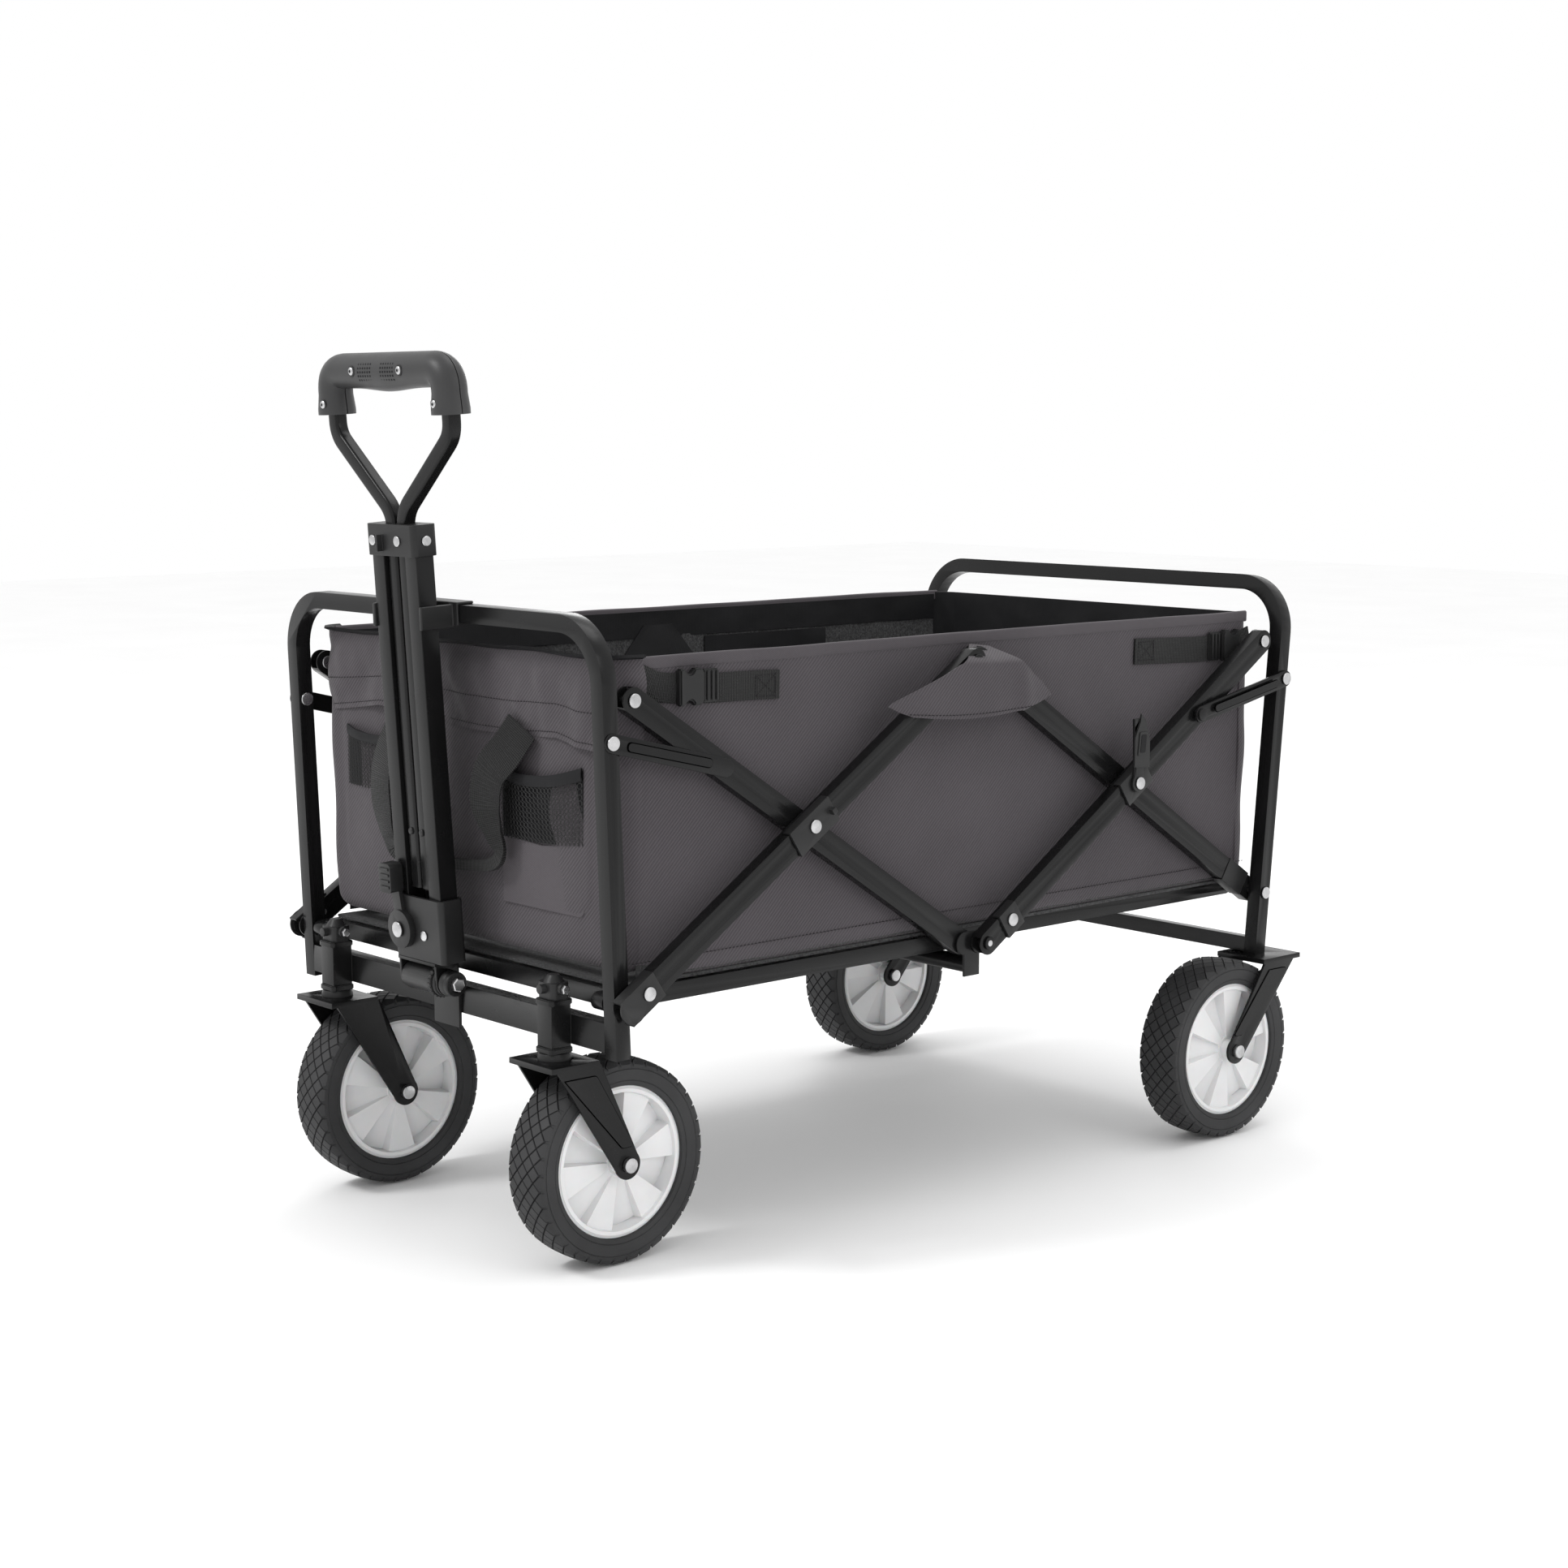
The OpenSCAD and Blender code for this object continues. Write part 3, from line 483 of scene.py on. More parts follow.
# ---- Wheels ----
TYRE_R = 89 * MM
TREAD_HALF, TREAD_DEPTH = 21 * MM, 1.9 * MM
TREAD_ROWS = 38


def tread_r(x):
    """Outer radius of the tread at a distance x from the middle."""
    return TYRE_R - 1.6 * MM * abs(x / TREAD_HALF) ** 2.4


def turn(x, r, angle):
    return (x, r * cos(angle), r * sin(angle))


def carcass_profile():
    """Half section of the tyre under its tread: beads, sidewall with two thin grooves, crown."""
    side = [(19, 65.8), (20.6, 66.6), (21.4, 70), (21.0, 70.6), (21.7, 71.2), (22.5, 76), (22.7, 80.2)]
    side += [(22.1, 80.7), (22.6, 81.2), (22.2, 83)]
    crown = [(x, tread_r(x * MM) / MM - TREAD_DEPTH / MM) for x in (20.5, 18, 14, 10, 5)]
    right = [(x * MM, r * MM) for x, r in side + crown]
    return right + [(0, TYRE_R - TREAD_DEPTH)] + [(-x, r) for x, r in reversed(right)]


def tread_block(verts, faces, corners, lift=TREAD_DEPTH):
    """Raised block with sloping sides over corners given as (x, angle)."""
    cx = sum(c[0] for c in corners) / len(corners)
    ca = sum(c[1] for c in corners) / len(corners)
    base, n = len(verts), len(corners)
    for k, h in ((0.93, -0.3 * MM), (0.90, lift * 0.75), (0.84, lift)):
        for x, ang in corners:
            px, pa = cx + (x - cx) * k, ca + (ang - ca) * k
            drop = 2.6 * MM if abs(x) > TREAD_HALF + 1 * MM else 0
            verts.append(turn(px, tread_r(px) - TREAD_DEPTH + h - drop, pa))
    for level in range(2):
        for i in range(n):
            j = (i + 1) % n
            a = base + level * n
            faces.append((a + i, a + j, a + n + j, a + n + i))
    faces.append(tuple(base + 2 * n + i for i in range(n)))


def tyre_mesh():
    profile = carcass_profile()
    steps = 152
    verts, faces = [], []
    for i in range(steps):
        verts += [turn(x, r, 2 * pi * i / steps) for x, r in profile]
    faces += quads(steps, len(profile), wrap_u=True, wrap_v=True)
    pitch = 2 * pi / TREAD_ROWS
    half = TREAD_HALF / 3
    for row in range(TREAD_ROWS):
        for column in range(-2, 3):
            x, ang = column * half, pitch * (row + 0.5 * (column % 2))
            tread_block(verts, faces,
                        [(x - half, ang), (x, ang - pitch / 2), (x + half, ang), (x, ang + pitch / 2)])
        for side in (1, -1):
            ang, edge, low = pitch * (row + 0.5), TREAD_HALF, TREAD_HALF + 1.6 * MM
            tip, wide = (side * 2 * half, ang), 0.47 * pitch
            outline = [tip, (side * edge, ang - wide), (side * low, ang - wide * 0.9)]
            outline += [(side * low, ang + wide * 0.9), (side * edge, ang + wide)]
            tread_block(verts, faces, outline)
    return verts, faces


HUB_FACE, HUB_RIM, HUB_BOSS = 16 * MM, 60 * MM, 26 * MM
HUB_WEDGES = 6
WEDGE_DEPTH = 11 * MM


def hub_height(r, raised):
    """Distance of the hub's face from the middle plane."""
    if r < 9.5 * MM:
        return HUB_BOSS
    if r < 12.5 * MM:
        return HUB_FACE + 1.5 * MM
    if r > 63.5 * MM:
        return 18.4 * MM if r < 65 * MM else 17.6 * MM
    if r > HUB_RIM:
        return 18.8 * MM
    if raised:
        return HUB_FACE + 1.5 * MM * (1 - r / HUB_RIM)
    return HUB_FACE - WEDGE_DEPTH * ((r - 12 * MM) / (HUB_RIM - 12 * MM)) ** 0.8


def hub_mesh():
    radii = [4.3, 9.4, 9.6, 12.4, 12.6, 16, 22, 30, 38, 46, 54, 58.8, 59.2, 60.2, 60.8, 63.4, 63.6, 65.4,
             65.9]
    angles = []
    for k in range(2 * HUB_WEDGES):
        start = k * pi / HUB_WEDGES
        for step in (0.015, 0.1, 0.2, 0.3, 0.4, 0.508):
            angles.append((start + step, k % 2 == 0))
    verts = []
    for ang, raised in angles:
        ring = []
        for r in radii:
            r *= MM
            x = hub_height(r, raised)
            if not raised and 12.5 * MM < r < 59 * MM:
                tilt = (ang % (pi / HUB_WEDGES)) / (pi / HUB_WEDGES) - 0.5
                x += tilt * 5 * MM * (r / HUB_RIM)
            ring.append((x, r))
        ring += [(-x, r) for x, r in reversed(ring)]
        verts += [turn(x, r, ang) for x, r in ring]
    return verts, quads(len(angles), 2 * len(radii), wrap_u=True, wrap_v=True)


def turned(verts, angle):
    """Points turned about the x axis."""
    c, w = cos(angle), sin(angle)
    return [(x, c * y - w * z, w * y + c * z) for x, y, z in verts]


def build_wheels():
    tyre_verts, tyre_faces = tyre_mesh()
    hub_verts, hub_faces = hub_mesh()
    for k, end in enumerate(("front_left", "front_right", "rear_left", "rear_right")):
        lo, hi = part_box("tyre_" + end)
        angle = 0.31 + 0.63 * k
        tyre = mesh_piece("wheel_tyre_" + end, turned(tyre_verts, angle), tyre_faces, RUBBER, smooth=32)
        hub = mesh_piece("wheel_hub_" + end, turned(hub_verts, angle), hub_faces, WHITE, smooth=24)
        bevel = hub.modifiers.new("bevel", "BEVEL")
        bevel.width = 0.7 * MM
        bevel.segments = 2
        bevel.angle_limit = radians(35)
        for obj, node, slot_name in ((tyre, "tyre_", "tyre"), (hub, "hub_", "white_hub")):
            obj.location = (lo + hi) / 2
            finish_piece(obj, "wheel_" + end, slot_name)
            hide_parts(node + end)


build_wheels()

# ---- Tub: one wall profile, lofted round a rounded plan ----
CORNER_R, ROLL_R, UNDER = 22 * MM, 18 * MM, 14 * MM
FRONT_LIFT = 11 * MM
CLOTH = 2.2 * MM
TUB_HI_Y = BACK_HI.y + 14 * MM


def wall_profile(v, lift, belly):
    """(inset, z) up a wall: under the tub, round the bottom roll, then up to the rim with a soft belly."""
    z0 = FLOOR_Z + lift
    roll = ROLL_R * pi / 2
    rise = RIM_Z - z0 - ROLL_R
    s = v * (UNDER + roll + rise)
    if s < UNDER:
        return ROLL_R + UNDER - s, z0
    if s < UNDER + roll:
        a = (s - UNDER) / ROLL_R
        return ROLL_R * (1 - sin(a)), z0 + ROLL_R * (1 - cos(a))
    t = (s - UNDER - roll) / rise
    return -belly * sin(pi * t), z0 + ROLL_R + rise * t


def front_plan(u, inset, half=None, wall=None, way=-1):
    """Point on the plan of an end wall with its two rounded corners, u from -1 to 1, inset inwards."""
    half = half or HALF_W
    wall = WALL_Y if wall is None else wall
    r = CORNER_R
    arc, flat = r * pi / 2, half - r
    s = u * (flat + arc)
    side = 1 if s >= 0 else -1
    s = abs(s)
    if s < flat:
        return side * s, wall - way * inset, (0, way)
    a = (s - flat) / r
    reach = r - inset
    x, y = flat + reach * sin(a), reach * cos(a)
    return side * x, wall - way * (r - y), (side * sin(a), way * cos(a))


def embossed(x, z):
    """Soft raised field of the stiffening board behind the front wall."""
    dx = abs(x) - (186 - 24) * MM
    dz = (302 + 24) * MM - z
    d = hypot(max(dx, 0), max(dz, 0)) + min(max(dx, dz), 0) - 24 * MM
    return 1.1 * MM * smoothstep(3 * MM, -3 * MM, d) if d > -3 * MM else 1.1 * MM


def end_wall(way, wall, lift):
    def outer(u, v):
        inset, z = wall_profile(v, lift, 2.5 * MM)
        x, y, out = front_plan(2 * u - 1, inset, None, wall, way)
        wave = crease((x * 1.3, 0, z), 17, 2.2 * MM, 3 + way) * smoothstep(0, 0.25, v) * smoothstep(1.02,
                                                                                                    0.9,
                                                                                                    v)
        wave += embossed(x, z) if way < 0 else 0
        return x + out[0] * wave, y + out[1] * wave, z
    return outer


def build_walls():
    front = cloth_shell("tub_front_wall", end_wall(-1, WALL_Y, FRONT_LIFT), 150, 84, CLOTH,
                        [CHARCOAL, LINING], "front_wall", "tub_fabric")
    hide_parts("front_panel")
    rear = cloth_shell("tub_rear_wall", end_wall(1, TUB_HI_Y, 0), 120, 70, CLOTH, [CHARCOAL, LINING],
                       "rear_wall", "tub_fabric", (0, 1, 0))
    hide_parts("rear_panel")


SIDE_START, SIDE_END = WALL_Y + CORNER_R - 3 * MM, TUB_HI_Y - CORNER_R + 3 * MM


def follow_fold(obj):
    """Gives the cloth its own copy of its mesh data."""
    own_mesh(obj)
    return obj


def side_outer(side):
    def fn(u, v):
        y = SIDE_START + (SIDE_END - SIDE_START) * u
        near_front = smoothstep(60 * MM, 0, y - SIDE_START)
        inset, z = wall_profile(v, FRONT_LIFT * near_front, 1.0 * MM)
        wave = crease((0, y, z * 1.2), 12, 1.7 * MM, 9 * side) * sin(pi * u) ** 0.4
        wave *= smoothstep(0, 0.3, v) * smoothstep(1.02, 0.85, v)
        return side * (HALF_W - inset + wave), y, z
    return fn


def build_sides():
    for side, name in ((1, "right"), (-1, "left")):
        panel = cloth_shell("tub_side_" + name, side_outer(side), 170, 66, CLOTH, [CHARCOAL, LINING],
                            None, None, (side, 0, 0))
        finish_piece(panel, "front_wall", "tub_fabric")
        follow_fold(panel)
        if side > 0:
            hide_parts("side_panels")
        y0, y1 = SIDE_START - 8 * MM, SIDE_END + 8 * MM
        x, z = side * (HALF_W - 1.2 * MM), RIM_Z - 3.5 * MM
        path = [Vector((x, y0 + (y1 - y0) * k / 90, z)) for k in range(91)]
        for p in path:
            p.z += crease(p, 9, 1.4 * MM, 2)
        rim = sweep("tub_rim_" + name, path, rounded(4.4 * MM, 11 * MM, 1.9 * MM, 3), BINDING, "front_wall",
                    "tub_fabric", Vector((1, 0, 0)))
        follow_fold(rim)
        hem = [Vector((side * (HALF_W + 0.9 * MM), p.y, FLOOR_Z + 21 * MM)) for p in path]
        follow_fold(stitches("tub_hem_stitches_" + name, hem, (side, 0, 0), "front_wall", "webbing"))
        build_side_lining(side, name)


def inner_wall(side, y0, y1, z0, z1, off, seed=1.0):
    """Flat cloth inside a side wall, as a function for cloth_shell."""
    def fn(u, v):
        y = y0 + (y1 - y0) * u
        z = z0 + (z1 - z0) * v
        wave = crease((0, y, z), 16, 2.0 * MM, seed) + crease((0, y, z), 45, 0.7 * MM, seed)
        return side * (HALF_W - off - abs(wave)), y, z
    return fn


def build_side_lining(side, name):
    y0, y1 = SIDE_START, SIDE_END
    cloth = cloth_shell("lining_cloth_" + name, inner_wall(side, y0, y1, 252 * MM, 496 * MM, 4.2 * MM),
                        90, 24, 0.9 * MM, [SPECKLE, SPECKLE], "front_wall", "lining", (-side, 0, 0))
    band = cloth_shell("lining_band_" + name,
                       inner_wall(side, y0, y1, 490 * MM, 517 * MM, 5.4 * MM, seed=5), 90, 8, 0.9 * MM,
                       *LINED, (-side, 0, 0))
    patch = cloth_shell("lining_patch_" + name,
                        inner_wall(side, MID_Y + 62 * MM, MID_Y + 232 * MM, 300 * MM, 488 * MM, 6.6 * MM,
                                   seed=7), 30, 24, 0.9 * MM, *LINED, (-side, 0, 0))

    def triangle(u, v):
        wide = 95 * MM * (1 - 0.8 * v)
        y = MID_Y + (2 * u - 1) * wide
        sag = 9 * MM * sin(pi * u) * (1 - v * v)
        return side * (HALF_W - 6.6 * MM - sag), y, (415 + 88 * v) * MM
    cover = cloth_shell("lining_cover_" + name, triangle, 24, 20, 1.2 * MM, *LINED, (-side, 0, 0))
    for piece in (cloth, band, patch, cover):
        follow_fold(piece)


def build_floors():
    for end, body in (("front", "front_floor"), ("rear", "rear_floor")):
        lo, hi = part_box(end + "_floor_sheet")

        def top(u, v, lo=lo, hi=hi):
            x, y = lo.x + (hi.x - lo.x) * u, lo.y + (hi.y - lo.y) * v
            edge = sin(pi * u) ** 0.5 * sin(pi * v) ** 0.5
            return x, y, hi.z + 0.4 * MM + crease((x, y, 0), 14, 1.6 * MM, 4) * edge
        sheet = cloth_shell(end + "_floor_cloth", top, 60, 50, 2.6 * MM, [SPECKLE, LINING], body,
                            "lining", (0, 0, 1))
        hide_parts(end + "_floor_sheet")


build_walls()
build_sides()
build_floors()

# ---- Front wall: flap, pockets, carrying strap ----
FLAP_EDGE = [(-1.0, 437), (-0.86, 446), (-0.72, 450), (-0.5, 457), (-0.38, 455), (-0.03, 448), (0.35, 446),
             (0.62, 450), (0.75, 445), (0.9, 443), (1.0, 452)]


def along(table, x):
    return float(np.interp(x, [p[0] for p in table], [p[1] for p in table]))


def flap_fn(u, v):
    """Fold-over flap: from inside the tub over the rim and down the outside to its hem."""
    s = 2 * u - 1
    hem = along(FLAP_EDGE, s) * MM
    top = RIM_Z + 3.0 * MM + crease((s, 0, 0), 3, 2.5 * MM, 6)
    fold = 0.24
    if v < fold:
        t = v / fold
        inset = 8 * MM * cos(pi * t) - 0.5 * MM
        z = top - 14 * MM * (1 - t) ** 2
        x, y, out = front_plan(s, inset)
        return x, y, z
    t = (v - fold) / (1 - fold)
    z = top + (hem - top) * t - 4 * MM * sin(pi * min(1, 3 * t)) * (t < 0.33)
    bulge = 3.2 * MM + 4.5 * MM * sin(pi * min(1, t * 1.15)) ** 0.8
    wave = crease((s * 2.6, z * 9, 0), 2.2, 6.5 * MM, 8) + crease((s * 9, z * 30, 1), 1.5, 2.2 * MM, 8)
    bulge += wave * smoothstep(0, 0.2, t)
    bulge += 4 * MM * smoothstep(0.65, 1, t) * (0.5 + 0.5 * sin(s * 9))
    x, y, out = front_plan(s, 0)
    return x + out[0] * bulge, y + out[1] * bulge, z


def build_flap():
    flap = cloth_shell("front_flap", flap_fn, 150, 60, 1.2 * MM, [CHARCOAL, LINING], "front_wall",
                       "tub_fabric")
    for name, v in (("hem", 0.95), ("upper", 0.70)):
        path = [Vector(flap_fn(u, v)) + Vector((0, -0.25 * MM, 0)) for u in np.linspace(0.05, 0.95, 120)]
        stitches("front_flap_stitches_" + name, path, (0, -1, 0), "front_wall", "webbing", 3.6 * MM,
                 2.4 * MM)


POCKET_L, POCKET_R = 64 * MM, 177 * MM
CARRY_W, CARRY_T = 38 * MM, 1.8 * MM


def pocket_point(side, a, b, lift=0.0):
    """Point of a mesh pocket: a across it, b from its bottom to its sagging top edge."""
    x = side * (POCKET_L + (POCKET_R - POCKET_L) * a)
    top = (419 + 8 * a - 30 * a * (1 - a)) * MM if side > 0 else (434 - 22 * a * (1 - a)) * MM
    low = (358 + 4 * a - 8 * a * (1 - a)) * MM if side > 0 else (379 - 4 * a * (1 - a)) * MM
    out = 4.6 * MM + 26 * MM * a * (1 - a) * (0.35 + 0.65 * b) * (1 + 0.25 * sin(9 * a))
    return Vector((x, WALL_Y - out - lift, low + (top - low) * b))


def net(side, name, columns=22, rows=12):
    """Diamond net of thin cords between the pocket's bottom and its binding."""
    verts, faces = [], []
    r = 0.55 * MM
    for column in range(columns):
        for phase in (0, 1):
            line = []
            for k in range(2 * rows + 1):
                shift = 0.5 * (1 if (k // 2 + phase) % 2 else -1) * (0.9 if k % 2 else 1)
                a = min(1, max(0, (column + 0.5 + shift * 0.92) / columns))
                line.append(pocket_point(side, a, k / (2 * rows) * 0.92))
            base = len(verts)
            for i, p in enumerate(line):
                for ang in (0, 2.1, 4.2):
                    verts.append(p + Vector((cos(ang), sin(ang) * 0.8, 0.25 * cos(ang))) * r)
            faces += [tuple(base + q for q in f) for f in quads(len(line), 3, wrap_v=True)]
    return mesh_piece(name, verts, faces, NET, "front_wall", "lining", None, 60)


def build_pockets():
    for side, name in ((1, "right"), (-1, "left")):
        net(side, "mesh_pocket_" + name)

        def backing(u, v, side=side):
            p = pocket_point(side, u, v * 0.97)
            return p.x, WALL_Y - 3.6 * MM, p.z

        def binding(u, v, side=side):
            return pocket_point(side, u, 0.84 + 0.17 * v, 0.8 * MM + 0.6 * MM * sin(pi * v))
        back = cloth_shell("mesh_pocket_back_" + name, backing, 16, 10, 0.6 * MM, *LINED)
        band = cloth_shell("mesh_pocket_binding_" + name, binding, 40, 6, 1.6 * MM, *LINED)
    corner = [(168 + 9 * sin(t), 309.5 - 9 * cos(t)) for t in np.linspace(0, 1.57, 7)]
    outline = [(62, 360), (62, 300.5), *corner, (177, 362), (120, 356)]
    pocket = slab("fabric_pocket", [(x * MM, z * MM) for x, z in outline],
                  lambda a, b, c: (a, WALL_Y - 2.4 * MM - c - 1.2 * MM * sin(a * 60), b), 1.6 * MM,
                  POCKET_CLOTH, "front_wall", "tub_fabric", 0.5 * MM)


def build_strap():
    """Webbing carrying strap: two wide ends hang from under the flap and join low behind the handle."""
    knots = [((-68, 386, 455), 1.0, 1.0), ((-82, 396, 432), 1.0, 1.0), ((-91, 402, 400), 1.0, 1.0),
             ((-90, 402, 366), 1.0, 1.0), ((-90, 396, 342), 0.72, 1.3), ((-86, 390, 327), 0.36, 2.6),
             ((-60, 387, 322), 0.28, 3.0), ((-20, 387, 325), 0.26, 3.0), ((25, 387, 328), 0.26, 3.0),
             ((62, 390, 334), 0.3, 2.8), ((77, 393, 346), 0.3, 2.4), ((74, 398, 364), 0.55, 1.6),
             ((70, 403, 388), 0.95, 1.0), ((75, 402, 415), 1.0, 1.0), ((90, 394, 436), 1.0, 1.0),
             ((101, 386, 456), 1.0, 1.0)]
    path = smooth_curve([(x * MM, -y * MM, z * MM) for (x, y, z), _, _ in knots], 7)
    count = len(path)
    lateral, scales = [], []
    for i, p in enumerate(path):
        t = i / 7
        wide = float(np.interp(t, range(len(knots)), [k[1] for k in knots]))
        thick = float(np.interp(t, range(len(knots)), [k[2] for k in knots]))
        scales.append((wide, thick))
        tangent = (path[min(i + 1, count - 1)] - path[max(i - 1, 0)]).normalized()
        out = Vector((0.15 * (1 if i > count / 2 else -1), -1, 0.1))
        lateral.append(out.cross(tangent).normalized())
    strap = sweep("carrying_strap", path, rounded(CARRY_W, CARRY_T, 0.8 * MM, 2), WEBBING, "front_wall",
                  "webbing", lateral, scales)
    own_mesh(strap)


build_flap()
build_pockets()
build_strap()

# ---- Corner straps, buckles and side flaps ----
STRAP_OFF, STRAP_W, STRAP_T = 1.8 * MM, 25 * MM, 1.7 * MM
BUCKLE_L, BUCKLE_H, BUCKLE_T = 24 * MM, 31 * MM, 7.5 * MM


def buckle_outline(length, height):
    """Half of a side-release buckle with a round notch in each long edge for the fingers."""
    notch = [(length * 0.45 + 4.6 * MM * cos(t), 4.6 * MM * sin(t)) for t in np.linspace(pi, 0, 9)]
    low = [(0, -height / 2), *[(x, -height / 2 + z) for x, z in notch], (length, -height / 2)]
    high = [(x, -z) for x, z in reversed(low)]
    return low + [(length + 2.4 * MM, -height * 0.36), (length + 2.4 * MM, height * 0.36)] + high


def strap_path(side, points):
    return smooth_curve([(side * (HALF_W + STRAP_OFF), y * MM, z * MM) for y, z in points], 10)


def box_stitches(name, side, y, z, body):
    """Sewn square with its cross at the end of a strap."""
    x = side * (HALF_W + STRAP_OFF + 1.0 * MM)
    a, b = 11 * MM, 9 * MM
    loop = [(-a, -b), (a, -b), (a, b), (-a, b), (-a, -b), (a, b), (a, -b), (-a, b)]
    path = [Vector((x, y * MM + p, z * MM + q)) for p, q in loop]
    row = stitches(name, path, (side, 0, 0), body, "webbing", 3 * MM, 2.2 * MM)
    follow_fold(row)


def build_corner_strap(side, end, body, points, buckle_y, toward):
    """Strap on one top corner: webbing, both halves of its buckle, ladder bars and a sewn end."""
    name = end + ("_right" if side > 0 else "_left")
    path = strap_path(side, points)
    strap = sweep("corner_strap_" + name, path, rounded(STRAP_W, STRAP_T, 0.8 * MM, 2), WEBBING, body,
                  "webbing", Vector((0, 0, 1)))
    follow_fold(strap)
    z = float(np.interp(buckle_y, sorted(p[0] for p in points), [p[1] for p in sorted(points)])) * MM
    x = HALF_W + STRAP_OFF - 0.4 * MM

    def place(a, b, c):
        return side * (x + c), buckle_y * MM + toward * a, z + b
    pieces = [slab("buckle_body_" + name, buckle_outline(BUCKLE_L, BUCKLE_H), place, BUCKLE_T, PLASTIC,
                   body, "black_plastic", 1.4 * MM)]
    frame_outline = [(27 * MM, -14 * MM), (44 * MM, -14 * MM), (44 * MM, 14 * MM), (27 * MM, 14 * MM)]
    pieces.append(slab("buckle_tongue_" + name, frame_outline, lambda a, b, c: place(a, b, c + 0.5 * MM),
                       4 * MM, PLASTIC, body, "black_plastic", 1.2 * MM))
    for k in range(3):
        bar = [(q + (31 + 5 * k) * MM, w) for q, w in rounded(2.2 * MM, 25 * MM, 1 * MM, 2)]
        pieces.append(slab("buckle_bar_%s_%d" % (name, k), bar, lambda a, b, c: place(a, b, c + 4.3 * MM),
                           1.6 * MM, PLASTIC, body, "black_plastic", 0.5 * MM))
    for piece in pieces:
        follow_fold(piece)
    if side > 0:
        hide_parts(end + "_buckles")
    last = points[-1]
    box_stitches("strap_stitches_" + name, side, last[0] + (-16 if toward > 0 else 16), last[1], body)


def build_corner_straps():
    for side in (1, -1):
        build_corner_strap(side, "front", "front_wall",
                           [(-356, 503), (-335, 495), (-290, 491), (-240, 490), (-204, 489)], -318, 1)
        build_corner_strap(side, "rear", "rear_wall",
                           [(428, 494), (408, 489), (362, 487), (312, 488), (254, 490)], 406, -1)


FLAP_LEFT = [(0, 22), (0.2, -12), (0.4, -42), (0.58, -74), (0.74, -104), (0.8, -110), (0.9, -98), (1, -80)]
FLAP_RIGHT = [(0, 47), (0.2, 58), (0.4, 70), (0.58, 84), (0.74, 94), (0.8, 96), (0.9, 82), (1, 58)]


def side_flap(side):
    """Curved triangular cloth over an upper centre, standing off the arms at its lower edge."""
    def fn(u, v):
        left, right = along(FLAP_LEFT, v), along(FLAP_RIGHT, v)
        y = (left + (right - left) * u) * MM
        z = (511 - 3 * u - 57 * v - 4 * sin(pi * u) * v) * MM
        fold = 2.6 * MM * exp(-((y - 60 * MM) / (9 * MM)) ** 2) * smoothstep(0.1, 0.6, v)
        x = HALF_W + 2 * MM + (257 * MM - HALF_W) * smoothstep(-0.08, 0.24, v) + 6 * MM * v
        x -= 4 * MM * abs(2 * u - 1) ** 3 * v - fold - crease((0, y, z), 24, 1.6 * MM, 11)
        return side * x, y, z
    return fn


def build_side_flaps():
    for side, name in ((1, "right"), (-1, "left")):
        flap = cloth_shell("side_flap_" + name, side_flap(side), 44, 36, 1.3 * MM, [CHARCOAL, LINING],
                           "top_centre", "tub_fabric", (side, 0, 0))
        edge = [Vector(side_flap(side)(u, 0.94)) + Vector((side * 0.3 * MM, 0, 0)) for u in np.linspace(0.03,
                                                                                                        0.97,
                                                                                                        60)]
        hem = stitches("side_flap_stitches_" + name, edge, (side, 0, 0), "top_centre", "webbing")
        for piece in (flap, hem):
            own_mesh(piece)


build_corner_straps()
build_side_flaps()

# ---- Handle ----
UP = Vector(joint["handle_extend"]["axis"]).normalized()
PIVOT = Vector(joint["handle_tilt"]["pos_m"])
AHEAD = Vector((0, -UP.z, UP.y))
ACROSS = Vector((1, 0, 0))
GRIP_S, GRIP_HALF, GRIP_R, GRIP_CORNER = 528, 86, 15, 34


def on_handle(x, s, d=0.0):
    """Point of the row frame from millimetres across, up and ahead of the handle."""
    return PIVOT + (ACROSS * x + UP * s + AHEAD * d) * MM


def lathe(name, profile, at, axis, mats, body, slot_name, steps=40, tooth=0.0):
    """Profile of (height, radius) in millimetres turned about an axis; tooth cuts notches round it."""
    axis = Vector(axis).normalized()
    side = axis.orthogonal().normalized()
    up = axis.cross(side)
    verts = []
    for i in range(steps):
        angle = 2 * pi * i / steps
        way = side * cos(angle) + up * sin(angle)
        cut = tooth if i % 4 > 1 else 0
        verts += [at + axis * (h * MM) + way * ((r - cut) * MM) for h, r in profile]
    n = len(profile)
    faces = quads(steps, n, wrap_u=True)
    faces += [tuple(i * n for i in range(steps)), tuple(i * n + n - 1 for i in reversed(range(steps)))]
    return mesh_piece(name, verts, faces, mats, body, slot_name, None, 35)


def build_bars():
    """Two inner tubes that run side by side and part into a Y below the grip."""
    for side, name in ((1, "right"), (-1, "left")):
        knots = [(8, 82), (8, 408), (86, 474), (86, 503)]
        path = fillet([on_handle(side * x, s) for x, s in knots], [30 * MM, 24 * MM], 10)
        bar = sweep("handle_bar_" + name, path, rounded(12 * MM, 14 * MM, 2.8 * MM, 4), STEEL, "grip",
                    "black_steel", AHEAD)
        if side > 0:
            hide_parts("handle_inner_tubes")
        button = [(-1, 3.1), (1.2, 3.1), (1.9, 2.4), (2.1, 1.0)]
        lathe("snap_button_" + name, button, on_handle(side * 8, 132, 6), AHEAD, PLASTIC, "grip",
              "black_plastic", 24)


